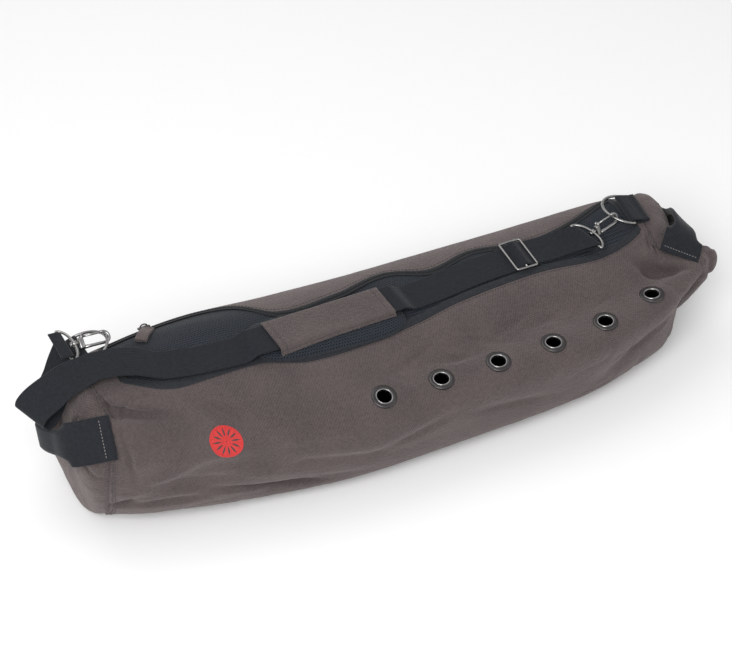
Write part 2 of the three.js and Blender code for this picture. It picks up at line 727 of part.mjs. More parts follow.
function buildHook() {
  const path = new THREE.CurvePath();
  const bend = HOOK.length - HOOK.wire / 2 - HOOK.half;
  path.add(new THREE.LineCurve3(vector(2 * BLOCK_START, -HOOK.half, 0), vector(bend, -HOOK.half, 0)));
  const middle = vector(bend + HOOK.half, 0, 0);
  const handle = HOOK.half * 0.5523;
  path.add(
    new THREE.CubicBezierCurve3(
      vector(bend, -HOOK.half, 0),
      vector(bend + handle, -HOOK.half, 0),
      vector(middle.x, -handle, 0),
      middle,
    ),
  );
  path.add(
    new THREE.CubicBezierCurve3(
      middle.clone(),
      vector(middle.x, handle, 0),
      vector(bend + handle, HOOK.half, 0),
      vector(bend, HOOK.half, 0),
    ),
  );
  path.add(new THREE.LineCurve3(vector(bend, HOOK.half, 0), vector(bend - OPENING, HOOK.half, 0)));
  const bow = new THREE.ExtrudeGeometry(circle(HOOK.wire / 2, 8), { steps: 16, extrudePath: path });
  const width = 2 * HOOK.half + HOOK.wire;
  const block = new THREE.BoxGeometry(HOOK.block, width, HOOK.thickness);
  block.translate(BLOCK_START + HOOK.block / 2, 0, 0);
  const slot = new THREE.BoxGeometry(HOOK.block, width, HOOK.slot).translate(
    PIVOT.x - GATE.eye - 2 * CLEAR + HOOK.block / 2,
    PIVOT.y - GATE.eye - 2 * CLEAR + width / 2,
    0,
  );
  const pin = rod(GATE.pin, HOOK.thickness - CLEAR).rotateX(Math.PI / 2).translate(PIVOT.x, PIVOT.y, 0);
  const start = -NECK.length - 4 * CLEAR;
  const end = 1.25 * BLOCK_START;
  const neck = rod(NECK.pin, end - start).rotateZ(Math.PI / 2).translate((end + start) / 2, 0, 0);
  const head = rod(NECK.head, NECK.pin).rotateZ(Math.PI / 2).translate(start - NECK.pin / 2, 0, 0);
  const joined = solid(block).subtract(solid(slot)).add(solid(bow)).add(solid(pin));
  return geometryOf(joined.add(solid(neck)).add(solid(head)));
}

function buildGate() {
  const tip = HOOK.length - HOOK.wire / 2 - HOOK.half - OPENING - CLEAR;
  const heel = PIVOT.x + (GATE.eye + GATE.pin) / 2;
  const bar = rod(GATE.wire / 2, tip - heel).rotateZ(Math.PI / 2).translate((tip + heel) / 2, PIVOT.y, 0);
  const eye = rod(GATE.eye, GATE.wire, 12).rotateX(Math.PI / 2).translate(PIVOT.x, PIVOT.y, 0);
  const hole = rod(GATE.pin + CLEAR, 2 * GATE.wire).rotateX(Math.PI / 2).translate(PIVOT.x, PIVOT.y, 0);
  return geometryOf(solid(bar).add(solid(eye)).subtract(solid(hole)));
}

function bailFrame(end) {
  const hook = hookFrame(end);
  const forward = vector(0, 0, 0);
  forward.setFromMatrixColumn(hook, 0);
  const across = vector(0, 0, 1).cross(forward).normalize();
  const up = forward.clone().cross(across);
  const apex = vector(-2 * CLEAR - NECK.length / 2, 0, 0).applyMatrix4(hook);
  const bar = apex.clone().addScaledVector(forward, -BAIL.depth - WIRE / 2);
  return { bar, bow: forward, across, up, apex };
}

function buildBail(end) {
  const frame = bailFrame(end);
  const loop = buildLoop(frame, BAIL.depth + WIRE / 2, BAIL.width + WIRE, WIRE, 24);
  const place = turned(frame.bow, frame.apex);
  const barrel = rod(NECK.barrel, NECK.length, 12).rotateX(Math.PI / 2).applyMatrix4(place);
  const bore = rod(NECK.bore, 3 * NECK.length, 10).rotateX(Math.PI / 2).applyMatrix4(place);
  return geometryOf(solid(loop).add(solid(barrel)).subtract(solid(bore)));
}

// Shoulder strap

function step(value, from, to) {
  const s = clamp((value - from) / (to - from), 0, 1);
  return s * s * (3 - 2 * s);
}

const SLIDE_X = SLIDE.at * LENGTH;
const PAD_X = PAD.at * LENGTH;
const CLIMB = SLIDE.wire + WEB + 3 * CLEAR; // the strap climbs this far over the slide's middle bar

function strapLift(x) {
  const half = PAD.length / 2;
  const up = step(x, PAD_X - half - PAD.ramp, PAD_X - half);
  const onPad = up * (1 - step(x, PAD_X + half, PAD_X + half + PAD.ramp));
  const doubled = step(x, SLIDE_X - WEAVE.before, SLIDE_X + WEAVE.after);
  const weave = Math.exp(-(((x - SLIDE_X) / WEAVE.spread) ** 2));
  const rise = Math.max(read(STRAP_RISE, "x", x / LENGTH, "rise"), 0);
  return 2 * GAP + rise + onPad * (PAD.thickness + GAP) + doubled * (WEB + GAP) + weave * CLIMB;
}

function strapMiddle(x) {
  const y = read(STRAP_LINE, "x", x / LENGTH, "y") * DIAMETER;
  const slope = (read(STRAP_LINE, "x", x / LENGTH + 0.005, "y") * DIAMETER - y) / (0.005 * LENGTH);
  const side = vector(slope, -1, 0).normalize().multiplyScalar(STRAP_WIDTH / 2);
  return { point: vector(x, y, restingHeight(x, y, side) + WEB / 2), side };
}

function strapStation(x, lift) {
  const station = strapMiddle(x);
  station.point.z += lift;
  return { ...station, thickness: WEB };
}

// Stations between a place on the bag and a hook's bail, on one layer of the strap.
function towardsBail(from, to, count) {
  const stations = [];
  for (let i = 1; i < count; i += 1) {
    const share = i / count;
    const point = from.point.clone().lerp(to.point, share);
    const side = from.side.clone().lerp(to.side, share).setLength(STRAP_WIDTH / 2);
    stations.push({ point, side, thickness: WEB });
  }
  return stations;
}

function buildStrap() {
  const right = bailFrame(ENDS.right);
  const rightSide = right.across.clone().multiplyScalar(-STRAP_WIDTH / 2);
  const turn = wrap(right.bar, right.bow, right.up, rightSide);
  const joinX = right.bar.x - DOUBLED;
  const start = SLIDE_X + SLIDE.wire / 2 + WEAVE.bare;
  const under = [];
  for (let i = 0; i <= 4; i += 1) under.push(strapStation(start + ((joinX - start) * i) / 4, GAP));
  const overStart = strapStation(joinX, strapLift(joinX));
  const stations = [
    ...under,
    ...towardsBail(under[4], turn[0], 3),
    ...turn,
    ...towardsBail(turn[turn.length - 1], overStart, 3),
    overStart,
  ];
  const places = [];
  for (let i = 0; i <= WEAVE_ROWS; i += 1) places.push(SLIDE_X + WEAVE.reach * (1 - (2 * i) / WEAVE_ROWS));
  const firstX = SLIDE_X - WEAVE.reach;
  const lastX = STRAP_LINE[0].x * LENGTH;
  for (let i = 1; i <= STRAP_ROWS; i += 1) places.push(firstX + ((lastX - firstX) * i) / STRAP_ROWS);
  for (const x of places) stations.push(strapStation(x, strapLift(x)));

  const edge = stations[stations.length - 1];
  const left = bailFrame(ENDS.left);
  const across = heading(LOOP_YAW - 90, 0).multiplyScalar(STRAP_WIDTH / 2);
  for (const row of LOOP) {
    const shift = vector(-row.out, row.aside, -row.down).multiplyScalar(DIAMETER);
    const side = edge.side.clone().lerp(across, row.turn).setLength(STRAP_WIDTH / 2);
    stations.push({ point: edge.point.clone().add(shift), side, thickness: WEB });
  }
  const leftSide = left.across.clone().multiplyScalar(-STRAP_WIDTH / 2);
  const hold = wrap(left.bar, left.bow, left.up, leftSide);
  const lower = stations[stations.length - 1];
  stations.push(...towardsBail(lower, hold[0], 3), ...hold);
  const tail = hold[hold.length - 1].point.clone().addScaledVector(left.bow, -STRAP_TAIL);
  stations.push({ point: tail, side: leftSide, thickness: WEB });
  return ribbon(stations);
}

function buildSlide() {
  const reach = SLIDE.length / 2;
  const before = strapMiddle(SLIDE_X - reach).point;
  const after = strapMiddle(SLIDE_X + reach).point;
  const along = after.clone().sub(before).normalize();
  const across = vector(0, 0, 1).cross(along).normalize();
  const up = along.clone().cross(across);
  const bar = before.lerp(after, 0.5).setZ(Math.max(before.z, strapMiddle(SLIDE_X).point.z));
  bar.z += 2 * GAP + 1.5 * WEB + CLEAR + SLIDE.wire / 2;
  const outline = roundedRectangle(new THREE.Shape(), 0, SLIDE.length, SLIDE.width, SLIDE.corner);
  const gap = (SLIDE.length - SLIDE.bar) / 2 - SLIDE.wire;
  outline.holes = [-1, 1].map((side) =>
    roundedRectangle(
      new THREE.Path(),
      (side * (gap + SLIDE.bar)) / 2,
      gap,
      SLIDE.width - 2 * SLIDE.wire,
      SLIDE.corner - SLIDE.wire,
    ),
  );
  return new THREE.ExtrudeGeometry(outline, { depth: SLIDE.thickness, bevelEnabled: false, curveSegments: 5 })
    .translate(0, 0, -SLIDE.thickness / 2)
    .applyMatrix4(new THREE.Matrix4().makeBasis(along, across, up).setPosition(bar));
}

// Pad under the strap and the canvas sleeve around both

function padHalfWidth(along) {
  return (PAD.width / 2) * (1 - Math.abs(2 * along - 1) ** 4) ** 0.25;
}

function padTop(x, y) {
  const along = (x - PAD_X) / PAD.length;
  const side = (y - PAD.across * DIAMETER) / padHalfWidth(clamp(along + 0.5, 0.015, 0.985));
  const crown = (1 - Math.min(side ** 6, 1)) * (1 - Math.min((2 * along) ** 10, 1));
  return heightAbove(x, y) + GAP + PAD.edge + (PAD.thickness - PAD.edge) * crown;
}

function buildPad() {
  return sheet(6, 12, (across, along, layer) => {
    const x = PAD_X + (along - 0.5) * PAD.length;
    const half = padHalfWidth(clamp(along, 0.015, 0.985));
    const y = PAD.across * DIAMETER - (2 * across - 1) * half;
    return vector(x, y, layer > 0.5 ? padTop(x, y) : heightAbove(x, y) + GAP);
  });
}

function buildSleeve() {
  const inner = STRAP_WIDTH / 2 + 2 * GAP;
  const half = SLEEVE.width / 2;
  const sides = [-half, -inner, 0, inner, half];
  return sheet(4, 10, (across, along, layer) => {
    const x = PAD_X + SLEEVE.shift + (along - 0.5) * SLEEVE.length;
    const station = strapMiddle(x);
    const side = sides[Math.round(across * 4)];
    const point = station.point.clone().addScaledVector(station.side, side / (STRAP_WIDTH / 2));
    const overStrap = point.z + strapLift(x) + WEB / 2 + 2 * GAP;
    const onPad = Math.min(padTop(point.x, point.y) + GAP, overStrap);
    point.z = (Math.abs(side) < half ? overStrap : onPad) + layer * SLEEVE.thickness;
    return point;
  });
}

// Zip slider and its canvas pull

function buildSlider() {
  const share = SLIDER.at;
  const around = windowEdge(share, "far") + (SEAM_GAP + ZIP_WIDTH / 2) / DEGREE;
  const seat = skin(share, around, -ZIP_RISE - GAP - SLIDER.height / 2);
  const place = turned(bodyNormal(share, around), seat, vector(0, 1, 0));
  const outline = new THREE.Shape();
  outline.absellipse(0, 0, SLIDER.length / 2, SLIDER.width / 2, 0, 2 * Math.PI);
  const block = new THREE.ExtrudeGeometry(outline, {
    depth: SLIDER.height,
    bevelEnabled: false,
    curveSegments: 8,
  });
  return block.translate(0, 0, -SLIDER.height / 2).applyMatrix4(place);
}

function buildPull() {
  const share = SLIDER.at;
  const around = windowEdge(share, "far") + (2 * SEAM_GAP + ZIP_WIDTH + PULL.away) / DEGREE;
  const start = skin(share, around);
  const away = heading(PULL.yaw, 0);
  const across = vector(0, 0, 1).cross(away);
  return sheet(2, 6, (side, along, layer) => {
    const point = start
      .clone()
      .addScaledVector(away, along * PULL.length)
      .addScaledVector(across, (side - 0.5) * PULL.width);
    point.z = heightAbove(point.x, point.y) + GAP + layer * PULL.thickness;
    return point;
  });
}

// Handles

function handleRoot(handle, around) {
  const spread = HANDLE_WIDTH / 2 / DEGREE;
  const high = skin(handle.root, around - spread);
  const low = skin(handle.root, around + spread);
  const side = high.sub(low).setLength(HANDLE_WIDTH / 2);
  return { point: skin(handle.root, around, -GAP - WEB), side };
}

function buildHandle(handle) {
  const front = handleRoot(handle, handle.front);
  const back = handleRoot(handle, handle.back);
  back.side.negate();
  const stations = [];
  for (let i = 0; i <= GRIP_STEPS; i += 1) {
    const along = i / GRIP_STEPS;
    const fold = clamp(read(GRIP, "along", along, "fold"), 0, 1);
    const point = front.point.clone().lerp(back.point, along);
    point.x += handle.side * DIAMETER * read(handle.path, "along", along, "out");
    point.z += DIAMETER * read(handle.path, "along", along, "up");
    const side = front.side.clone().lerp(back.side, along);
    side.setLength(HANDLE_WIDTH / 2 + ((GRIP_WIDTH - HANDLE_WIDTH) / 2) * fold);
    stations.push({ point, side, thickness: WEB + (GRIP_THICKNESS - WEB) * fold });
  }
  return ribbon(stations);
}

addMesh("body_panel", buildBody(), "canvas");
addMesh("mesh_panel", buildMeshPanel(), "mesh");
addMesh("zip", buildZip(), "zip");
addMesh("zip_slider", buildSlider(), "gunmetal");
addMesh("zip_pull", buildPull(), "canvas");
for (let i = 0; i < EYELET_COUNT; i += 1) addMesh(`eyelet_${i + 1}`, buildEyelet(i), "gunmetal");
for (const [name, end] of Object.entries(ENDS)) {
  addMesh(`end_cap_${name}`, buildCap(HANDLES[name].side), "canvas");
  addMesh(`handle_${name}`, buildHandle(HANDLES[name]), "webbing");
  addMesh(`ring_tab_${name}`, buildTab(end), "webbing");
  addMesh(`d_ring_${name}`, buildRing(end), "steel");
  addMesh(`bail_${name}`, buildBail(end), "steel");
  const fitting = new THREE.Group();
  fitting.applyMatrix4(hookFrame(end));
  group.add(fitting);
  addMesh(`hook_${name}`, buildHook(), "steel", fitting);
  addMesh(`gate_${name}`, buildGate(), "steel", fitting);
}
addMesh("strap", buildStrap(), "webbing");
addMesh("slide_adjuster", buildSlide(), "gunmetal");
addMesh("strap_pad", buildPad(), "mesh");
addMesh("pad_sleeve", buildSleeve(), "canvas");

// The origin is the middle of the bag's footprint, on the surface that it lies on.
group.updateMatrixWorld(true);
const middle = new THREE.Box3().setFromObject(group, true).getCenter(vector(0, 0, 0));
group.position.set(-middle.x, -middle.y, 0);

export default group;
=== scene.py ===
"""Looks of a slack canvas yoga mat bag that lies on a pale floor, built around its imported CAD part.

All shapes are worked out in millimetres in the bag's own frame, X along the bag, -Y its front and +Z up,
and move to the CAD part's frame in metres when a mesh is made.
"""

import logging
import math
from collections.abc import Callable, Sequence
from dataclasses import dataclass, field
from enum import Enum

import bmesh
import bpy
import numpy as np
from mathutils import Matrix, Vector


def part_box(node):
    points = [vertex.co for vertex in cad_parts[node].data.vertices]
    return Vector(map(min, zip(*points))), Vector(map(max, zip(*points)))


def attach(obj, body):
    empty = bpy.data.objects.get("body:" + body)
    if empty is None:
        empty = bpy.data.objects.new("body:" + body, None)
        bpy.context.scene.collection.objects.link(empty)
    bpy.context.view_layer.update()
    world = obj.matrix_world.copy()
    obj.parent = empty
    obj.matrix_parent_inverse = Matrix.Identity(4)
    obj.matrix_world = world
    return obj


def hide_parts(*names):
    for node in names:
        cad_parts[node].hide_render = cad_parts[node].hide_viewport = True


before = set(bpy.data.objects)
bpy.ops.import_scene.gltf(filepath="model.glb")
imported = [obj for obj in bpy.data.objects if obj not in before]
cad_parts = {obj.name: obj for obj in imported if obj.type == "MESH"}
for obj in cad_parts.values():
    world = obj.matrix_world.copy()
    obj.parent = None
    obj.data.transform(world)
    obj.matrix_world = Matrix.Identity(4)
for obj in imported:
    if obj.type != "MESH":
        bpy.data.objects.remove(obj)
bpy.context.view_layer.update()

LOG = logging.getLogger("mat_bag")
Points = np.ndarray

# Sizes shared with the CAD part, in millimetres
LENGTH = 710.0
DIAMETER = 190.0
CANVAS = 2.0
MESH = 2.6
GAP = 0.4
SAG = 2.5
SEAM_GAP = 0.8
SEAM_REACH = 0.47
ZIP_WIDTH = 9.0
WEB = 1.6
WIRE = 3.0
CLEAR = 0.3
STRAP_WIDTH = 38.0
HANDLE_WIDTH = 44.0
DEGREE = math.pi * DIAMETER / 360
SLIDE_X = 0.232 * LENGTH
PAD_X = -0.098 * LENGTH


class Slot(str, Enum):
    """Material slots of the part's record."""

    CANVAS = "canvas"
    MESH = "mesh"
    WEBBING = "webbing"
    ZIP = "zip_tape"
    STEEL = "steel"
    GUNMETAL = "gunmetal"


class End(Enum):
    """The two ends of the bag, with the direction in which each one points."""

    LEFT = -1
    RIGHT = 1

    @property
    def label(self) -> str:
        """Name of the end in node names."""
        return self.name.lower()

    @property
    def share(self) -> float:
        """Share of the bag's length at this end."""
        return 0.0 if self is End.LEFT else 1.0


class Table:
    """Columns of listed values that are read smoothly along the first one."""

    def __init__(self, columns: str, *rows: tuple[float, ...]) -> None:
        """Keeps the rows.

        Args:
            columns: Names of the columns, separated by spaces.
            rows: One tuple per row, the first value being the key.
        """
        self.columns = columns.split()
        self.data = np.array(rows, dtype=float)

    def read(self, at: Points | float, column: str) -> Points:
        """Smooth value of a column.

        Args:
            at: Places in the key column.
            column: Name of the column.

        Returns:
            One value per place.
        """
        keys = self.data[:, 0]
        values = self.data[:, self.columns.index(column)]
        place = np.clip(at, keys[0], keys[-1])
        i = np.clip(np.searchsorted(keys, place, side="left") - 1, 0, len(keys) - 2)
        before = np.maximum(np.arange(len(keys)) - 1, 0)
        after = np.minimum(np.arange(len(keys)) + 1, len(keys) - 1)
        slopes = (values[after] - values[before]) / (keys[after] - keys[before])
        span = keys[i + 1] - keys[i]
        s = (place - keys[i]) / span
        return (
            (1 + 2 * s) * (1 - s) ** 2 * values[i]
            + s * (1 - s) ** 2 * span * slopes[i]
            + s * s * (3 - 2 * s) * values[i + 1]
            + s * s * (s - 1) * span * slopes[i + 1]
        )


SECTIONS = Table(
    "at front back top waist upper lower",
    (0.0, 0.33, 0.39, 0.84, 0.44, 0.9, 0.92),
    (0.08, 0.42, 0.46, 0.84, 0.39, 0.9, 0.8),
    (0.22, 0.53, 0.57, 0.8, 0.33, 0.9, 0.66),
    (0.36, 0.62, 0.585, 0.72, 0.28, 0.9, 0.62),
    (0.5, 0.64, 0.585, 0.66, 0.26, 0.9, 0.62),
    (0.75, 0.65, 0.545, 0.63, 0.26, 0.88, 0.62),
    (0.87, 0.57, 0.49, 0.64, 0.29, 0.82, 0.66),
    (0.94, 0.5, 0.43, 0.655, 0.33, 0.76, 0.72),
    (1.0, 0.37, 0.36, 0.66, 0.38, 0.76, 0.85),
)
END_SEAMS = Table(
    "around left right",
    (0, 0.2, -0.22),
    (26, 0.2, -0.24),
    (52, 0.19, -0.03),
    (75, 0.16, -0.02),
    (100, 0.13, -0.07),
    (135, 0.13, -0.18),
    (180, 0.1, -0.2),
    (270, 0.06, -0.12),
    (330, 0.16, -0.14),
    (360, 0.2, -0.22),
)
WINDOW = Table(
    "at near far",
    (0.088, 6, -38),
    (0.14, 16, -42),
    (0.2, 16, -43),
    (0.29, 13, -40),
    (0.35, 17, -18),
    (0.45, 15, -22),
    (0.535, 11, -31),
    (0.6, 7, -20),
    (0.68, 5, -27),
    (0.76, 5, -18),
    (0.85, 9, -23),
    (0.945, 3, -44),
)
STRAP_LINE = Table(
    "x y",
    (-0.45, 0.052),
    (-0.41, 0.032),
    (-0.352, -0.022),
    (-0.283, -0.06),
    (-0.2, -0.058),
    (-0.083, -0.01),
    (0.08, 0.036),
    (0.16, 0.066),
    (0.232, 0.07),
    (0.29, 0.055),
)
STRAP_RISE = Table("x rise", (-0.45, 9.5), (-0.38, 8.0), (-0.34, 0.0), (0.3, 0.0))


@dataclass(frozen=True)
class Fold:
    """A fold or dent of the cloth.

    at: share of the length. around: degrees from the top to the front. turn: degrees away from the bag's
    length. long, wide, deep: shares of the diameter, deep being positive inwards.
    """

    at: float
    around: float
    turn: float
    long: float
    wide: float
    deep: float


FOLDS = (
    Fold(0.07, 31, 14, 0.34, 0.07, 0.05),
    Fold(0.06, 16, 0, 0.3, 0.09, -0.025),
    Fold(0.19, 36, 55, 0.2, 0.1, 0.03),
    Fold(0.12, 84, -20, 0.3, 0.12, 0.035),
    Fold(0.3, 100, -6, 0.3, 0.1, 0.035),
    Fold(0.42, 78, -4, 0.5, 0.12, -0.02),
    Fold(0.57, 34, -10, 0.4, 0.08, 0.02),
    Fold(0.73, 28, -8, 0.25, 0.08, 0.02),
    Fold(0.93, 34, -20, 0.17, 0.12, 0.07),
    Fold(0.97, 96, 70, 0.3, 0.14, 0.06),
)


def vec(x: float, y: float, z: float) -> Points:
    """A point or direction in millimetres."""
    return np.array((x, y, z), dtype=float)


def unit(v: Points) -> Points:
    """The directions of vectors in the last axis."""
    return v / np.maximum(np.linalg.norm(v, axis=-1, keepdims=True), 1e-12)


def smooth_step(value: Points | float, start: float, end: float) -> Points:
    """0 before start, 1 after end and smooth between."""
    s = np.clip((value - start) / (end - start), 0, 1)
    return s * s * (3 - 2 * s)


def signed_power(value: Points, power: Points) -> Points:
    """Power of the size of a value with the sign kept."""
    return np.sign(value) * np.abs(value) ** power


def signed_turn(around: Points) -> Points:
    """Angles from the top as values from -180 to 180, positive at the front."""
    return np.mod(around + 180, 360) - 180


def level_seam(around: Points, right: Points | bool) -> Points:
    """1 where the end seam has no groove, along the front of the right end, and 0 elsewhere."""
    turn = signed_turn(around)
    return smooth_step(turn, 30, 50) * (1 - smooth_step(turn, 120, 140)) * right


def distances(path: Points) -> Points:
    """Distance along a path at each of its points."""
    return np.concatenate(((0,), np.cumsum(np.linalg.norm(np.diff(path, axis=0), axis=1))))


def heading(yaw: float, slope: float = 0.0) -> Points:
    """Direction at a yaw from +X and a slope above the horizon, in degrees."""
    flat = math.cos(math.radians(slope))
    return vec(
        math.cos(math.radians(yaw)) * flat,
        math.sin(math.radians(yaw)) * flat,
        math.sin(math.radians(slope)),
    )


def turned(v: Points, axis: Points, degrees: float) -> Points:
    """A vector turned about a unit axis."""
    c, s = math.cos(math.radians(degrees)), math.sin(math.radians(degrees))
    return v * c + np.cross(axis, v) * s + axis * np.dot(axis, v) * (1 - c)


@dataclass
class Noise:
    """Smooth random numbers in space, from -1 to 1.

    seed: Fixes the pattern.
    """

    seed: int
    table: Points = field(init=False)

    def __post_init__(self) -> None:
        """Draws the table of random values."""
        self.table = np.random.default_rng(self.seed).uniform(-1, 1, 4096)

    def at(self, place: Points) -> Points:
        """Values at places whose last axis is x, y, z, with a grain of 1."""
        cell = np.floor(place).astype(np.int64)
        part = place - cell
        part = part * part * (3 - 2 * part)
        total = np.zeros(place.shape[:-1])
        for corner in np.ndindex(2, 2, 2):
            c = cell + np.array(corner)
            key = (c[..., 0] * 73856093) ^ (c[..., 1] * 19349663) ^ (c[..., 2] * 83492791)
            weight = np.prod(np.where(corner, part, 1 - part), axis=-1)
            total += weight * self.table[key & 4095]
        return total


class Skin:
    """The outer face of the bag's body as a function of its length and of the angle from the top."""

    @staticmethod
    def form(share: Points, around: Points) -> Points:
        """Smooth body without folds."""
        share, around = np.broadcast_arrays(np.asarray(share, float), np.asarray(around, float))
        turn = np.mod(around, 360)
        c, s = np.cos(np.radians(turn)), np.sin(np.radians(turn))
        power = np.where(c > 0, SECTIONS.read(share, "upper"), SECTIONS.read(share, "lower"))
        rise, reach = signed_power(c, power), signed_power(s, power)
        waist = SECTIONS.read(share, "waist") * DIAMETER + SAG
        top = SECTIONS.read(share, "top") * DIAMETER
        height = np.where(rise > 0, waist + (top - waist) * rise, waist + waist * rise)
        side = np.where(reach > 0, SECTIONS.read(share, "front"), SECTIONS.read(share, "back"))
        x = (share - 0.5) * LENGTH
        for distance, column in ((share * LENGTH, "left"), ((1 - share) * LENGTH, "right")):
            near = np.clip(1 - distance / (SEAM_REACH * DIAMETER), 0, 1)
            x = x + near * near * END_SEAMS.read(turn, column) * DIAMETER
        return np.stack((x, -side * DIAMETER * reach, height - SAG), axis=-1)

    @staticmethod
    def depth_of_folds(share: Points, around: Points, folds: Sequence[Fold]) -> Points:
        """Depth of folds on the cloth laid out flat."""
        turn = signed_turn(around)
        total = np.zeros(np.broadcast(share, turn).shape)
        for fold in folds:
            x = (share - fold.at) * LENGTH
            y = (turn - fold.around) / 360 * math.pi * DIAMETER
            c, s = math.cos(math.radians(fold.turn)), math.sin(math.radians(fold.turn))
            long = (x * c + y * s) / (fold.long * DIAMETER)
            wide = (y * c - x * s) / (fold.wide * DIAMETER)
            total = total + fold.deep * DIAMETER * np.exp(-long * long - wide * wide)
        return total

    @staticmethod
    def outward(surface: Callable, share: Points, around: Points, step: float, turn: float) -> Points:
        """Outward directions of a surface."""
        share = np.asarray(share, float)
        around = np.asarray(around, float)
        along = surface(share + step, around) - surface(share - step, around)
        across = surface(share, around + turn) - surface(share, around - turn)
        return -unit(np.cross(along, across))

    @classmethod
    def folded(cls, share: Points, around: Points) -> Points:
        """Body with its main folds."""
        normal = cls.outward(cls.form, share, around, 0.002, 1.0)
        depth = cls.depth_of_folds(share, around, FOLDS)
        return cls.form(share, around) - normal * depth[..., None]

    @classmethod
    def normal(cls, share: Points, around: Points) -> Points:
        """Outward directions of the folded body."""
        return cls.outward(cls.folded, share, around, 0.003, 1.5)

    @classmethod
    def at(cls, share: Points, around: Points, depth: Points | float = 0.0) -> Points:
        """Points at a depth under the outer face, kept above the surface that the bag lies on."""
        depth = np.asarray(depth, float)
        point = cls.folded(share, around) - cls.normal(share, around) * depth[..., None]
        point[..., 2] = np.maximum(point[..., 2], np.maximum(depth, 0))
        return point

    @classmethod
    def place_above(cls, x: Points, y: Points) -> tuple[Points, Points]:
        """Share of the length and angle of the skin above points of the plan view."""
        share = x / LENGTH + 0.5
        around = np.zeros_like(share)
        for _ in range(12):
            point = cls.at(share, around)
            share = np.clip(share + (x - point[..., 0]) / LENGTH, 0, 1)
            around = np.clip(around - np.clip((y - point[..., 1]) / 2.6, -12, 12), -75, 75)
        return share, around

    @classmethod
    def height_above(cls, x: Points, y: Points) -> Points:
        """Height of the skin above points of the plan view."""
        share, around = cls.place_above(np.asarray(x, float), np.asarray(y, float))
        return cls.at(share, around)[..., 2]

    @classmethod
    def resting_height(cls, x: Points, y: Points, side: Points) -> Points:
        """Heights at which strips of half a width lie across the bag."""
        x, y = np.asarray(x, float), np.asarray(y, float)
        heights = []
        for k in (-1, -0.5, 0, 0.5, 1):
            for near in (-4, 0, 4):
                over = cls.height_above(x + near + side[..., 0] * k, y + side[..., 1] * k)
                heights.append(over - side[..., 2] * k)
        return np.max(heights, axis=0)


EYELET_SHARES = 0.431 + (0.882 - 0.431) * np.arange(6) / 5
EYELET_AROUND = 49.0
SHIFT = (
    np.mean(np.array(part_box("eyelet_1")), axis=0) * 1000
    - Skin.at(EYELET_SHARES[0], EYELET_AROUND, CANVAS / 2)
) * vec(1, 1, 0)

# Smaller folds of the cloth, which the CAD part leaves out
CREASES = (
    Fold(0.08, 29, 17, 0.22, 0.026, 0.042),
    Fold(0.06, 38, 12, 0.2, 0.035, -0.02),
    Fold(0.03, 22, 70, 0.12, 0.025, 0.025),
    Fold(0.195, 36, 51, 0.17, 0.04, 0.032),
    Fold(0.225, 34, 45, 0.14, 0.045, -0.016),
    Fold(0.12, 80, -28, 0.2, 0.05, -0.028),
    Fold(0.2, 68, -6, 0.3, 0.05, -0.016),
    Fold(0.16, 88, -4, 0.2, 0.03, 0.02),
    Fold(0.36, 63, -1, 0.4, 0.05, -0.014),
    Fold(0.235, 99, 10, 0.26, 0.025, 0.036),
    Fold(0.29, 90, 6, 0.3, 0.04, -0.02),
    Fold(0.1, 104, -12, 0.2, 0.028, 0.026),
    Fold(0.03, 110, -35, 0.12, 0.026, 0.036),
    Fold(0.052, 66, 84, 0.2, 0.03, 0.022),
    Fold(0.36, 84, 8, 0.24, 0.032, 0.02),
    Fold(0.47, 78, -14, 0.24, 0.028, 0.018),
    Fold(0.545, 37.5, 3, 0.26, 0.02, 0.024),
    Fold(0.5, 31, -16, 0.13, 0.018, 0.016),
    Fold(0.47, 41, 28, 0.12, 0.02, 0.014),
    Fold(0.62, 33, 22, 0.1, 0.018, 0.016),
    Fold(0.66, 28, -14, 0.14, 0.018, 0.018),
    Fold(0.715, 31, -6, 0.13, 0.018, 0.02),
    Fold(0.62, 82, 12, 0.22, 0.035, 0.018),
    Fold(0.8, 36, -10, 0.14, 0.018, 0.02),
    Fold(0.84, 84, -16, 0.25, 0.04, 0.022),
    Fold(0.92, 30, 40, 0.15, 0.04, 0.05),
    Fold(0.955, 42, 58, 0.12, 0.03, 0.045),
    Fold(0.975, 14, -70, 0.09, 0.018, 0.032),
    Fold(0.955, 8, -58, 0.1, 0.018, 0.026),
    Fold(0.935, 4, -45, 0.1, 0.016, 0.022),
)

# The long brow in front of the eyelets and the dip behind it
BROWS = (
    Fold(0.79, 60, 0, 0.95, 0.13, -0.07),
    Fold(0.5, 62, 0, 0.9, 0.14, -0.036),
    Fold(0.79, 33, 0, 0.8, 0.11, 0.034),
    Fold(0.52, 34, 0, 0.7, 0.11, 0.016),
)


# Heights of the wrinkles and depths of the grooves at the end seams, in millimetres
SOFT_RISE, SHARP_DEPTH, SMALL_RISE, PUCKER = 1.875, 1.95, 0.455, 0.3
SEAM_GROOVE, CAP_GROOVE = 1.6, 1.4


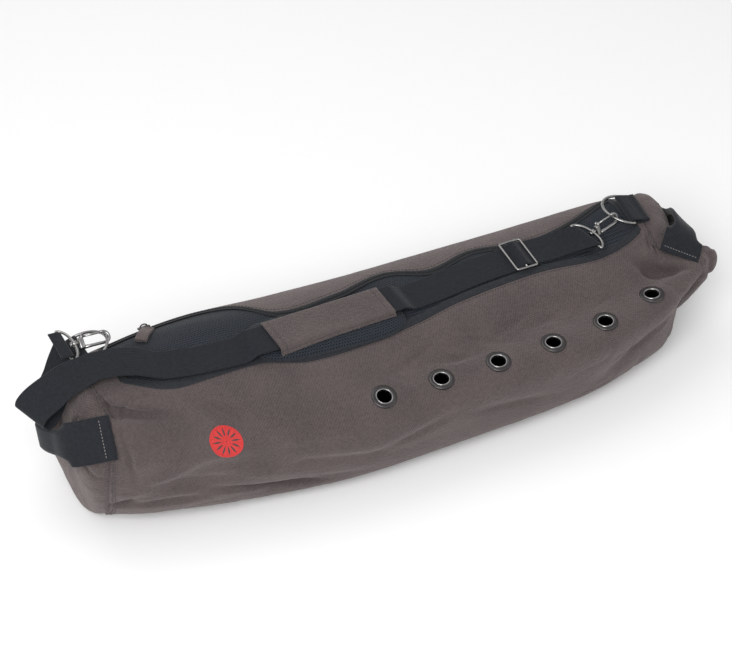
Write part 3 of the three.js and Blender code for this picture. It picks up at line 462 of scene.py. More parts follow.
class Cloth:
    """The body's skin with small folds, seams and wrinkles, for the meshes that show."""

    broad = Noise(11)
    fine = Noise(23)

    @classmethod
    def wrinkle(cls, point: Points) -> Points:
        """Height of the wrinkles at points, in millimetres."""
        soft = SOFT_RISE * cls.broad.at(point / vec(85, 34, 34))
        patch = smooth_step(cls.broad.at(point / vec(120, 80, 80) + 7.3), -0.25, 0.5)
        ridge = np.abs(cls.fine.at(point / vec(46, 21, 21) + 3.1))
        sharp = -SHARP_DEPTH * np.exp(-((ridge / 0.12) ** 2)) * patch
        small = SMALL_RISE * cls.fine.at(point / vec(16, 8, 8))
        return soft + sharp + small

    @classmethod
    def at(cls, share: Points, around: Points, lift: float = 0.0) -> Points:
        """Points of the finished cloth.

        Args:
            share: Shares of the bag's length.
            around: Degrees from the top to the front.
            lift: Distance above the cloth.

        Returns:
            Points in millimetres.
        """
        share, around = np.broadcast_arrays(np.asarray(share, float), np.asarray(around, float))
        base = Skin.folded(share, around)
        normal = Skin.normal(share, around)
        turn = signed_turn(around)
        covered = smooth_step(turn, -64, -52) * (1 - smooth_step(turn, 26, 36))
        along = (share[..., None] - EYELET_SHARES) * LENGTH
        over = (turn[..., None] - EYELET_AROUND) * DEGREE
        distance = np.min(np.hypot(along, over), axis=-1)
        calm = smooth_step(distance, 13, 36)
        end = np.minimum(share, 1 - share) * LENGTH
        height = cls.wrinkle(base) * calm * (0.55 + 0.9 * np.exp(-end / 90))
        height = height - Skin.depth_of_folds(share, around, CREASES) * calm
        height = height - Skin.depth_of_folds(share, around, BROWS)
        beside = turn - WINDOW.read(share, "near")
        under = covered * (1 - smooth_step(beside, 1, 8) * (turn > 0))
        height = np.where(height > 0, height * (1 - covered), height * (1 - 0.8 * under))
        groove = SEAM_GROOVE * np.exp(-((end / 2.6) ** 2))
        height = height - groove * (1 - level_seam(around, share > 0.5))
        pucker = PUCKER * cls.fine.at(base / vec(9, 6, 6)) * np.exp(-end / 16)
        point = base + normal * (height + pucker + lift)[..., None]
        point[..., 2] = np.maximum(point[..., 2], 0.0)
        return point


def cloth_normal(share: Points, around: Points) -> Points:
    """Outward directions of the finished cloth."""
    return Skin.outward(Cloth.at, share, around, 0.006, 2.5)


def to_frame(points: Points) -> Points:
    """Points of the bag's own frame as metres in the CAD part's frame."""
    return (points + SHIFT) / 1000


# Rings and sides of a stitch's bead
BEAD_RINGS, BEAD_SIDES = 5, 6


@dataclass
class Mesher:
    """Gathers grids, tubes and small solids into one mesh.

    name: Name of the piece.
    """

    name: str
    bm: bmesh.types.BMesh = field(default_factory=bmesh.new)
    rows_of: dict[bmesh.types.BMVert, int] = field(default_factory=dict)

    def grid(
        self,
        points: Points,
        uv: Points | None = None,
        closed: bool = False,
        looped: bool = False,
        capped: bool = False,
        material: int = 0,
        joined: bool = True,
    ) -> list[bmesh.types.BMVert]:
        """Adds a grid of points.

        Args:
            points: Rows and columns of points in millimetres.
            uv: Rows and columns of texture places in metres.
            closed: The last column meets the first one.
            looped: The last row meets the first one.
            capped: The open ends of a closed grid are filled.
            material: Index of the material.
            joined: Doubles along a closed side are joined at once.

        Returns:
            The vertices, row by row before doubles are joined.
        """
        if closed:
            points = np.concatenate((points, points[:, :1]), axis=1)
        if looped:
            points = np.concatenate((points, points[:1]), axis=0)
        rows, columns = points.shape[:2]
        made = bmesh.ops.create_grid(
            self.bm, x_segments=columns - 1, y_segments=rows - 1, size=1.0
        )["verts"]
        flat = to_frame(points).reshape(-1, 3)
        for vert, place in zip(made, flat):
            vert.co = place
        faces = {f for v in made for f in v.link_faces}
        layer = self.bm.loops.layers.uv.verify()
        if uv is None:
            steps = np.linalg.norm(np.diff(points, axis=0), axis=2).mean(axis=1)
            down = np.concatenate(((0,), np.cumsum(steps)))
            steps = np.linalg.norm(np.diff(points, axis=1), axis=2).mean(axis=0)
            right = np.concatenate(((0,), np.cumsum(steps)))
            uv = np.stack(np.broadcast_arrays(right[None, :], down[:, None]), axis=-1) / 1000
        elif closed or looped:
            raise ValueError("a closed grid gets its texture places from its own lengths")
        places = {v: uv[i // columns, i % columns] for i, v in enumerate(made)}
        for face in faces:
            face.smooth = True
            face.material_index = material
            for loop in face.loops:
                loop[layer].uv = places[loop.vert]
        self.rows_of = {v: i // columns for i, v in enumerate(made)}
        if (closed or looped) and joined:
            bmesh.ops.remove_doubles(self.bm, verts=made, dist=1e-7)
            made = [v for v in made if v.is_valid]
        if capped:
            edges = {e for v in made for e in v.link_edges if e.is_boundary}
            for face in bmesh.ops.holes_fill(self.bm, edges=list(edges), sides=0)["faces"]:
                face.material_index = material
        return made

    def tube(
        self, path: Points, radius: Points | float, sides: int = 12, looped: bool = False, material: int = 0
    ) -> None:
        """Adds a round wire along a path, with closed ends.

        Args:
            path: Points of its middle line.
            radius: One radius, or one per point.
            sides: Number of sides.
            looped: The path returns to its start.
            material: Index of the material.
        """
        ahead = np.roll(path, -1, axis=0) - np.roll(path, 1, axis=0)
        if not looped:
            ahead[0], ahead[-1] = path[1] - path[0], path[-1] - path[-2]
        ahead = unit(ahead)
        side = np.empty_like(path)
        start = vec(0, 0, 1) if abs(ahead[0][2]) < 0.9 else vec(1, 0, 0)
        last = unit(np.cross(start, ahead[0]))
        for i, tangent in enumerate(ahead):
            last = unit(last - tangent * np.dot(last, tangent))
            side[i] = last
        up = np.cross(ahead, side)
        angle = np.linspace(0, 2 * math.pi, sides, endpoint=False)
        ring = np.cos(angle)[None, :, None] * side[:, None] + np.sin(angle)[None, :, None] * up[:, None]
        radii = np.broadcast_to(np.asarray(radius, float), (len(path),))
        points = path[:, None] + ring * radii[:, None, None]
        self.grid(points, closed=True, looped=looped, capped=not looped, material=material)

    def sweep(self, stations: "Stations", profile: Points, material: int = 0) -> None:
        """Adds a ribbon with a profile.

        Args:
            stations: Where the ribbon runs.
            profile: Rows of profile points, or one profile, closed, across and up.
            material: Index of the material.
        """
        across, up = stations.across(), stations.up()
        if profile.ndim == 2:
            profile = np.broadcast_to(profile, (len(across), *profile.shape))
        points = (
            stations.middle[:, None]
            + across[:, None] * profile[..., 0:1]
            + up[:, None] * profile[..., 1:2]
        )
        self.grid(points, closed=True, capped=True, material=material)

    def block(
        self,
        centre: Points,
        axes: tuple[Points, Points, Points],
        size: tuple[float, float, float],
        bevel: float,
    ) -> None:
        """Adds a block with rounded edges.

        Args:
            centre: Its middle.
            axes: Its three directions.
            size: Its lengths along them.
            bevel: Size of the rounding.
        """
        place = Matrix.Translation(to_frame(centre)) @ Matrix(axes).transposed().to_4x4()
        scale = Matrix.Diagonal((*(length / 1000 for length in size), 1))
        made = bmesh.ops.create_cube(self.bm, size=1.0, matrix=place @ scale)["verts"]
        edges = list({e for v in made for e in v.link_edges})
        bmesh.ops.bevel(
            self.bm, geom=edges, offset=bevel / 1000, segments=3, affect="EDGES", profile=0.5
        )
        for face in self.bm.faces:
            face.smooth = True

    def stitches(
        self, path: Points, normal: Points, pitch: float = 4.0, radius: float = 0.42, material: int = 0
    ) -> None:
        """Adds a row of stitches.

        Args:
            path: Points that the row runs along, on the cloth.
            normal: Outward directions of the cloth at these points.
            pitch: Distance from one stitch to the next.
            radius: Radius of the thread.
            material: Index of the material.
        """
        steps = distances(path)
        count = max(int(steps[-1] / pitch), 1)
        places = (np.arange(count) + 0.5) * steps[-1] / count
        point, before, after, out = (
            np.stack([np.interp(places + shift, steps, line[:, k]) for k in range(3)], axis=-1)
            for shift, line in ((0, path), (-1, path), (1, path), (0, normal))
        )
        ahead = unit(after - before)
        side = unit(np.cross(out, ahead))
        size = (pitch * 0.37, radius, radius)
        self.beads(point, (ahead, side, np.cross(ahead, side)), size, material)

    def beads(
        self,
        centres: Points,
        axes: tuple[Points, Points, Points],
        size: tuple[float, float, float],
        material: int = 0,
    ) -> None:
        """Adds small rounded beads, such as stitches and the teeth of a zip.

        Args:
            centres: Their middles.
            axes: Their long, wide and high directions.
            size: Half their length, width and height.
            material: Index of the material.
        """
        polar = np.linspace(0, math.pi, BEAD_RINGS)
        turn = np.linspace(0, 2 * math.pi, BEAD_SIDES, endpoint=False)
        local = np.stack(
            np.broadcast_arrays(
                np.cos(polar)[:, None],
                np.sin(polar)[:, None] * np.cos(turn)[None, :],
                np.sin(polar)[:, None] * np.sin(turn)[None, :],
            ),
            axis=-1,
        ) * np.array(size)
        points = centres[:, None, None] + sum(
            local[None, ..., k : k + 1] * np.broadcast_to(axis, centres.shape)[:, None, None]
            for k, axis in enumerate(axes)
        )
        made = self.grid(points.reshape(-1, BEAD_SIDES, 3), closed=True, material=material, joined=False)
        bridges = [
            f
            for f in {f for v in made for f in v.link_faces}
            if len({self.rows_of[v] // BEAD_RINGS for v in f.verts}) > 1
        ]
        bmesh.ops.delete(self.bm, geom=bridges, context="FACES_ONLY")
        bmesh.ops.remove_doubles(self.bm, verts=made, dist=1e-7)

    def finish(
        self, slot: Slot, materials: Sequence[bpy.types.Material], body: str, *nodes: str
    ) -> bpy.types.Object:
        """Makes the object and ties it to the CAD part.

        Args:
            slot: Material slot of the record; not used.
            materials: Materials of the piece.
            body: CAD body that it moves with.
            nodes: CAD nodes that it stands for.

        Returns:
            The object.
        """
        bmesh.ops.recalc_face_normals(self.bm, faces=self.bm.faces[:])
        mesh = bpy.data.meshes.new(self.name)
        self.bm.to_mesh(mesh)
        self.bm.free()
        for material in materials:
            mesh.materials.append(material)
        made = bpy.data.objects.new(self.name, mesh)
        bpy.context.scene.collection.objects.link(made)
        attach(made, body)
        if nodes:
            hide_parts(*nodes)
        LOG.info("%s: %d faces", self.name, len(mesh.polygons))
        return made


@dataclass
class Stations:
    """Where a ribbon runs: its middle points and half its width as vectors."""

    middle: Points
    side: Points

    def across(self) -> Points:
        """Directions across the ribbon."""
        return unit(self.side)

    def up(self) -> Points:
        """Directions out of the ribbon's face."""
        return unit(np.cross(np.gradient(self.middle, axis=0), self.side))

    def refined(self, step: float) -> "Stations":
        """The same run with evenly spaced stations on a smooth curve.

        Args:
            step: Distance between stations.

        Returns:
            The new stations.
        """
        length = distances(self.middle)
        keep = np.concatenate(((True,), np.diff(length) > 0.05))
        key, table = length[keep], np.concatenate((self.middle, self.side), axis=1)[keep]
        places = np.linspace(0, key[-1], max(int(key[-1] / step), 8))
        columns = []
        for k in range(6):
            rows = tuple(zip(key, table[:, k]))
            columns.append(Table("at value", *rows).read(places, "value"))
        values = np.stack(columns, axis=-1)
        return Stations(values[:, :3], values[:, 3:])


def flat_profile(width: float, thickness: float, columns: int = 12, bow: float = 0.0) -> Points:
    """Outline of a strip of webbing with rounded edges.

    Args:
        width: Width of the strip.
        thickness: Its thickness.
        columns: Number of steps across.
        bow: How far its middle stands above its edges.

    Returns:
        A closed row of points, across and up.
    """
    half = width / 2 - thickness / 2
    across = np.linspace(-half, half, columns + 1)
    arc = bow * (1 - (across / half) ** 2)
    top = np.stack((across, arc + thickness / 2), axis=-1)
    bottom = np.stack((across[::-1], arc[::-1] - thickness / 2), axis=-1)
    turn = np.radians(np.array((60, 20, -20, -60)))
    right = np.stack((half + np.cos(turn) * thickness / 2, np.sin(turn) * thickness / 2), axis=-1)
    left = -right
    return np.concatenate((top, right, bottom, left))


def curled_profile(width: float, folded: float, thickness: float, curl: float, columns: int = 28) -> Points:
    """Outline of webbing whose edges curl under until it is folded to a narrower grip.

    Args:
        width: Full width of the webbing.
        folded: Width of the finished grip.
        thickness: Thickness of one layer.
        curl: 0 for flat and 1 for folded.
        columns: Number of steps across.

    Returns:
        A closed row of points, across and up.
    """
    places = np.linspace(-width / 2, width / 2, columns + 1)
    bend = folded / 2 - thickness * 1.2
    radius = thickness * 0.95
    turned_by = np.clip((np.abs(places) - bend) / radius, 0, math.pi) * curl
    step = np.diff(places)
    middle = (turned_by[1:] + turned_by[:-1]) / 2
    x = np.concatenate(((0,), np.cumsum(np.cos(middle) * step)))
    x -= np.interp(0, places, x)
    slope = np.sin(middle) * step * np.where(places[1:] + places[:-1] > 0, -1, 1)
    z = np.concatenate(((0,), np.cumsum(slope)))
    z -= np.interp(0, places, z)
    line = np.stack((x, z), axis=-1)
    ahead = unit(np.gradient(line, axis=0))
    out = np.stack((-ahead[:, 1], ahead[:, 0]), axis=-1) * thickness / 2
    return np.concatenate((line + out, (line - out)[::-1]))


# Finishes


@dataclass(frozen=True)
class Fabric:
    """Colours and textures of a cloth.

    colour, worn: Linear colours of the cloth and of its rubbed ridges. rough: Roughness. grain: Size of the
    mottling in metres. weave: Pitch of the weave in metres. relief: Depth of the weave in metres.
    sheen: Strength of the fuzz.
    """

    name: str
    colour: tuple[float, float, float]
    worn: tuple[float, float, float]
    rough: float = 0.92
    grain: float = 0.004
    weave: tuple[float, float] = (0.0009, 0.0009)
    relief: float = 0.0002
    sheen: float = 0.25
    contrast: float = 0.5


@dataclass(frozen=True)
class Metal:
    """Colour and polish of a plated metal."""

    name: str
    colour: tuple[float, float, float]
    rough: float
    wear: float = 0.1


class Graph:
    """A material's node tree, written as short calls."""

    def __init__(self, name: str) -> None:
        """Makes a material with an empty surface shader."""
        self.material = bpy.data.materials.new(name)
        self.material.use_nodes = True
        self.nodes = self.material.node_tree.nodes
        self.links = self.material.node_tree.links
        self.shader = self.nodes["Principled BSDF"]

    def node(self, kind: str, **values: object) -> bpy.types.Node:
        """Adds a node, setting its attributes and inputs by name."""
        made = self.nodes.new(kind)
        for key, value in values.items():
            if hasattr(made, key):
                setattr(made, key, value)
            else:
                self.put(made.inputs[key.replace("_", " ")], value)
        return made

    def put(self, socket: bpy.types.NodeSocket, value: object) -> None:
        """Links a socket or sets its value."""
        if isinstance(value, bpy.types.NodeSocket):
            self.links.new(value, socket)
        else:
            socket.default_value = value

    def maths(self, operation: str, *values: object) -> bpy.types.NodeSocket:
        """Adds a number operation and returns its result."""
        made = self.nodes.new("ShaderNodeMath")
        made.operation = operation
        for socket, value in zip(made.inputs, values):
            self.put(socket, value)
        return made.outputs[0]

    def noise(self, place: bpy.types.NodeSocket, size: float, detail: float = 3.0) -> bpy.types.NodeSocket:
        """Adds a noise with a grain of a size in metres."""
        made = self.node("ShaderNodeTexNoise", Vector=place, Scale=1 / size, Detail=detail)
        return made.outputs["Fac"]

    def mix(self, share: object, a: object, b: object) -> bpy.types.NodeSocket:
        """Mixes two colours."""
        made = self.nodes.new("ShaderNodeMix")
        made.data_type = "RGBA"
        self.put(made.inputs["Factor"], share)
        for socket, value in ((made.inputs[6], a), (made.inputs[7], b)):
            self.put(socket, (*value, 1.0) if isinstance(value, tuple) else value)
        return made.outputs[2]

    def ramp(self, value: object, low: float, high: float) -> bpy.types.NodeSocket:
        """Stretches a value so that low becomes 0 and high 1, clamped."""
        made = self.node("ShaderNodeMapRange", From_Min=low, From_Max=high)
        made.clamp = True
        self.put(made.inputs["Value"], value)
        return made.outputs[0]

    def set(self, **values: object) -> None:
        """Sets inputs of the surface shader by name."""
        for key, value in values.items():
            self.put(self.shader.inputs[key.replace("_", " ")], value)

    def bump(self, height: object, depth: float, under: object = None) -> bpy.types.NodeSocket:
        """Adds a bump of a depth in metres on top of another one."""
        made = self.node("ShaderNodeBump", Strength=1.0, Distance=depth)
        self.put(made.inputs["Height"], height)
        if under is not None:
            self.put(made.inputs["Normal"], under)
        return made.outputs[0]


def ribs(graph: Graph, uv: bpy.types.NodeSocket, pitch: float, axis: int) -> bpy.types.NodeSocket:
    """Soft ribs across one direction of the cloth, from 0 to 1."""
    parts = graph.node("ShaderNodeSeparateXYZ", Vector=uv)
    wave = graph.maths("SINE", graph.maths("MULTIPLY", parts.outputs[axis], 2 * math.pi / pitch))
    return graph.maths("MULTIPLY_ADD", wave, 0.5, 0.5)


# Turn of the canvas's twill lines from the length of the cloth
TWILL = math.radians(38)


def canvas_material(finish: Fabric) -> bpy.types.Material:
    """Washed canvas: a fine uneven weave, mottled and rubbed paler on its ridges."""
    graph = Graph(finish.name)
    place = graph.node("ShaderNodeTexCoord").outputs["Object"]
    twill = graph.node("ShaderNodeMapping", Rotation=(0.0, 0.0, TWILL))
    graph.put(twill.inputs["Vector"], graph.node("ShaderNodeUVMap").outputs[0])
    across = ribs(graph, twill.outputs[0], finish.weave[0], 0)
    along = ribs(graph, twill.outputs[0], finish.weave[1], 1)
    weave = graph.maths("MULTIPLY_ADD", across, 0.6, graph.maths("MULTIPLY", along, 0.4))
    grain = graph.noise(place, finish.grain, 5)
    slub = graph.noise(place, finish.grain * 0.28, 2)
    cloud = graph.noise(place, 0.05, 3)
    tone = graph.maths("MULTIPLY_ADD", grain, 0.45, graph.maths("MULTIPLY", cloud, 0.35))
    tone = graph.maths("MULTIPLY_ADD", slub, 0.35, tone)
    tone = graph.ramp(tone, 0.36, 0.8)
    tone = graph.maths("MULTIPLY_ADD", weave, 0.4, graph.maths("MULTIPLY", tone, 0.62))
    colour = graph.mix(graph.maths("MULTIPLY", tone, finish.contrast), finish.colour, finish.worn)
    height = graph.maths("MULTIPLY_ADD", slub, 0.8, graph.maths("MULTIPLY", weave, 0.5))
    normal = graph.bump(height, finish.relief)
    normal = graph.bump(grain, finish.relief * 2.2, normal)
    graph.set(Base_Color=colour, Roughness=finish.rough, Normal=normal)
    graph.set(Sheen_Weight=finish.sheen, Sheen_Roughness=0.45, Sheen_Tint=(1.0, 0.9, 0.88, 1.0))
    graph.set(Specular_IOR_Level=0.18)
    return graph.material


def webbing_material(finish: Fabric) -> bpy.types.Material:
    """Ribbed webbing: rows of small blocks along the strip."""
    graph = Graph(finish.name)
    place = graph.node("ShaderNodeTexCoord").outputs["Object"]
    uv = graph.node("ShaderNodeUVMap").outputs[0]
    across = ribs(graph, uv, finish.weave[0], 0)
    along = ribs(graph, uv, finish.weave[1], 1)
    weave = graph.maths("MULTIPLY_ADD", across, 0.5, graph.maths("MULTIPLY", along, 0.6))
    grain = graph.noise(place, finish.grain, 4)
    tone = graph.maths("MULTIPLY_ADD", weave, 0.4, graph.maths("MULTIPLY", grain, 0.7))
    colour = graph.mix(graph.ramp(tone, 0.25, 0.95), finish.colour, finish.worn)
    normal = graph.bump(weave, finish.relief)
    normal = graph.bump(grain, finish.relief, normal)
    graph.set(Base_Color=colour, Roughness=finish.rough, Normal=normal, Specular_IOR_Level=0.2)
    graph.set(Sheen_Weight=finish.sheen, Sheen_Roughness=0.4)
    return graph.material


def mesh_material(finish: Fabric) -> bpy.types.Material:
    """Knitted spacer mesh: a honeycomb of small holes, with painted shade in them."""
    graph = Graph(finish.name)
    place = graph.node("ShaderNodeTexCoord").outputs["Object"]
    uv = graph.node("ShaderNodeUVMap").outputs[0]
    total: object = 0.0
    for degrees in (0, 60, 120):
        direction = (math.cos(math.radians(degrees)), math.sin(math.radians(degrees)), 0)
        dot = graph.node("ShaderNodeVectorMath", operation="DOT_PRODUCT")
        graph.put(dot.inputs[0], uv)
        graph.put(dot.inputs[1], direction)
        phase = graph.maths("MULTIPLY", dot.outputs["Value"], 2 * math.pi / finish.weave[0])
        total = graph.maths("ADD", graph.maths("COSINE", phase), total)
    hole = graph.ramp(total, 0.2, 1.9)
    grain = graph.noise(place, finish.grain, 3)
    yarn = graph.mix(grain, finish.colour, finish.worn)
    # Painted shade: the holes are coloured near black to stand in for the shade inside them.
    colour = graph.mix(hole, yarn, tuple(c * 0.12 for c in finish.colour))
    normal = graph.bump(graph.maths("SUBTRACT", 1.0, hole), finish.relief)
    graph.set(Base_Color=colour, Roughness=finish.rough, Normal=normal, Specular_IOR_Level=0.25)
    graph.set(Sheen_Weight=finish.sheen, Sheen_Roughness=0.4)
    return graph.material


def metal_material(finish: Metal) -> bpy.types.Material:
    """Plated metal with faint wear."""
    graph = Graph(finish.name)
    place = graph.node("ShaderNodeTexCoord").outputs["Object"]
    smudge = graph.noise(place, 0.006, 4)
    rough = graph.maths("MULTIPLY_ADD", smudge, finish.wear, finish.rough)
    normal = graph.bump(graph.noise(place, 0.0012, 2), 0.00003)
    graph.set(Base_Color=(*finish.colour, 1.0), Metallic=1.0, Roughness=rough, Normal=normal)
    return graph.material


CANVAS_CLOTH = Fabric(
    "canvas", (0.038, 0.0295, 0.0300), (0.150, 0.120, 0.119), grain=0.0026, weave=(0.0019, 0.0024),
    relief=0.0005, contrast=0.9,
)
STRAP_WEB = Fabric(
    "strap webbing", (0.007, 0.008, 0.0105), (0.022, 0.0245, 0.031), grain=0.003,
    weave=(0.0022, 0.0016), relief=0.00022, sheen=0.12, rough=0.8,
)
DARK_MESH = Fabric(
    "spacer mesh", (0.009, 0.012, 0.018), (0.03, 0.037, 0.05), grain=0.002,
    weave=(0.0027, 0.0027), relief=0.0006, sheen=0.1, rough=0.8,
)
TAPE = Fabric(
    "zip tape", (0.012, 0.013, 0.015), (0.03, 0.032, 0.036), grain=0.002,
    weave=(0.001, 0.0016), relief=0.00015, sheen=0.1, rough=0.8,
)
BINDING = Fabric(
    "binding", (0.012, 0.013, 0.016), (0.034, 0.037, 0.043), grain=0.003,
    weave=(0.0012, 0.0012), relief=0.00015, sheen=0.12, rough=0.85,
)
RED_THREAD = Fabric(
    "red thread", (0.5, 0.028, 0.03), (0.62, 0.06, 0.055), grain=0.0012,
    weave=(0.0007, 0.003), relief=0.0002, sheen=0.1, rough=0.6,
)
GREY_THREAD = Fabric(
    "grey thread", (0.2, 0.19, 0.19), (0.3, 0.28, 0.28), grain=0.0012,
    weave=(0.0007, 0.003), relief=0.0001, sheen=0.1, rough=0.6,
)
DARK_THREAD = Fabric(
    "dark thread", (0.04, 0.034, 0.035), (0.085, 0.075, 0.075), grain=0.0012,
    weave=(0.0007, 0.003), relief=0.0001, sheen=0.1, rough=0.7,
)
NICKEL = Metal("nickel", (0.34, 0.335, 0.33), 0.22, 0.15)
GUN = Metal("gunmetal", (0.085, 0.08, 0.08), 0.3, 0.15)


class Finishes:
    """The materials of the scene, each made once."""

    def __init__(self) -> None:
        """Builds all materials."""
        self.canvas = canvas_material(CANVAS_CLOTH)
        self.webbing = webbing_material(STRAP_WEB)
        self.mesh = mesh_material(DARK_MESH)
        self.tape = webbing_material(TAPE)
        self.binding = webbing_material(BINDING)
        self.red = webbing_material(RED_THREAD)
        self.grey = webbing_material(GREY_THREAD)
        self.thread = webbing_material(DARK_THREAD)
        self.nickel = metal_material(NICKEL)
        self.gunmetal = metal_material(GUN)


BAG = "bag"


# Body, end caps, mesh panel and zip


@dataclass
class BodyCloth:
    """The canvas tube with its window, its eyelet holes and the stitches along its seams."""

    finishes: Finishes
    rows: int = 300
    columns: int = 236
    hidden: int = 30
    hole: float = 10.2

    def angles(self, share: Points) -> Points:
        """Angles of all columns at shares of the length, from the window's near edge right round."""
        near = WINDOW.read(share, "near")[:, None]
        far = WINDOW.read(share, "far")[:, None]
        shown = np.linspace(0, 1, self.columns + 1)[None, :]
        under = np.linspace(0, 1, self.hidden + 1)[None, 1:]
        outer = near + (360 + far - near) * shown
        inner = 360 + far + (near - far) * under
        return np.concatenate((outer, inner), axis=1)

    def build(self) -> None:
        """Makes the cloth."""
        first, last = WINDOW.data[0, 0], WINDOW.data[-1, 0]
        share = np.linspace(0, 1, self.rows + 1)
        share[np.argmin(np.abs(share - first))] = first
        share[np.argmin(np.abs(share - last))] = last
        around = self.angles(share)
        points = Cloth.at(share[:, None], around)
        uv = np.stack((around * DEGREE, np.broadcast_to(share[:, None] * LENGTH, around.shape)), axis=-1)
        mesher = Mesher("body_cloth")
        made = mesher.grid(points, uv / 1000)
        width = around.shape[1]
        inside = [
            v
            for i, v in enumerate(made)
            if first < share[i // width] < last and self.columns < i % width < width - 1
        ]
        bmesh.ops.delete(mesher.bm, geom=inside, context="VERTS")
        seats = to_frame(Cloth.at(EYELET_SHARES, EYELET_AROUND))
        pierced = [
            v
            for v in mesher.bm.verts
            if min(np.linalg.norm(seats - np.array(v.co), axis=1)) < self.hole / 1000
        ]
        bmesh.ops.delete(mesher.bm, geom=pierced, context="VERTS")
        bmesh.ops.remove_doubles(mesher.bm, verts=mesher.bm.verts[:], dist=1e-6)
        mesher.finish(Slot.CANVAS, [self.finishes.canvas], BAG, "body_panel")
        self.stitch()

    def stitch(self) -> None:
        """Adds the rows of stitches along the end seams and along the window."""
        mesher = Mesher("body_stitches")
        turn = np.linspace(0, 360, 400)
        for share in (5.0, 9.5, LENGTH - 5.0, LENGTH - 9.5):
            place = share / LENGTH
            mesher.stitches(Cloth.at(place, turn, 0.25), Skin.normal(place, turn))
        first, last = WINDOW.data[0, 0], WINDOW.data[-1, 0]
        share = np.linspace(first, last, 400)
        for column, sign in (("near", 1), ("far", -1)):
            edge = WINDOW.read(share, column) + sign * 3.2 / DEGREE
            mesher.stitches(Cloth.at(share, edge, 0.25), Skin.normal(share, edge))
        mesher.finish(Slot.CANVAS, [self.finishes.thread], BAG)


@dataclass
class EndCap:
    """A canvas dome sewn into an end of the body."""

    finishes: Finishes
    end: End
    rows: int = 60
    columns: int = 240
    roundness: float = 0.6

    @property
    def bulge(self) -> float:
        """How far the cap domes out past its seam."""
        return 20.0 if self.end is End.LEFT else 34.0

    def face(self, radius: Points, around: Points) -> Points:
        """Smooth points of the cap at a share of the way from its middle to its seam."""
        centre = Skin.folded(self.end.share, np.arange(12) * 30.0).mean(axis=0)
        ring = Skin.folded(self.end.share, around)
        reach = np.sin(radius * math.pi / 2) ** self.roundness
        dome = np.maximum(np.cos(radius * math.pi / 2), 0) ** self.roundness
        point = centre + (ring - centre) * reach[..., None]
        point[..., 0] += self.end.value * (self.bulge * dome + GAP)
        return point

    def shaped(self, radius: Points, around: Points) -> Points:
        """Points of the cap with its wrinkles, joined to the body's cloth at its seam."""
        radius, around = np.broadcast_arrays(np.asarray(radius, float), np.asarray(around, float))
        base = self.face(radius, around)
        inner = np.clip(radius, 0.02, 0.98)
        out = self.face(inner + 0.01, around) - self.face(inner - 0.01, around)
        over = self.face(inner, around + 2) - self.face(inner, around - 2)
        normal = unit(np.cross(out, over))
        normal = normal * np.sign(normal[..., 0:1] * self.end.value + 1e-9)
        height = 1.25 * Cloth.wrinkle(base + vec(300, 40, 17))
        edge = 1 - radius
        height = height * smooth_step(edge, 0, 0.12)
        groove = CAP_GROOVE * np.exp(-((edge / 0.03) ** 2))
        height = height - groove * (1 - level_seam(around, self.end is End.RIGHT))
        point = base + normal * height[..., None]
        rim = Cloth.at(self.end.share, around)
        near = smooth_step(radius, 0.93, 1.0)[..., None]
        point = point * (1 - near) + rim * near
        point[..., 2] = np.maximum(point[..., 2], 0.0)
        return point

    def build(self) -> None:
        """Makes the cap."""
        radius = np.linspace(0.004, 1, self.rows + 1)[:, None] ** 0.8
        around = np.linspace(0, 360, self.columns, endpoint=False)[None, :]
        mesher = Mesher(f"end_cap_{self.end.label}")
        mesher.grid(self.shaped(radius, around), closed=True)
        rim = [e for e in mesher.bm.edges if e.is_boundary]
        tip = to_frame(self.shaped(radius[:1], around[:, :1]))[0, 0]
        small = [e for e in rim if (e.verts[0].co - Vector(tip)).length < 0.004]
        bmesh.ops.holes_fill(mesher.bm, edges=small, sides=0)
        mesher.finish(Slot.CANVAS, [self.finishes.canvas], BAG, f"end_cap_{self.end.label}")


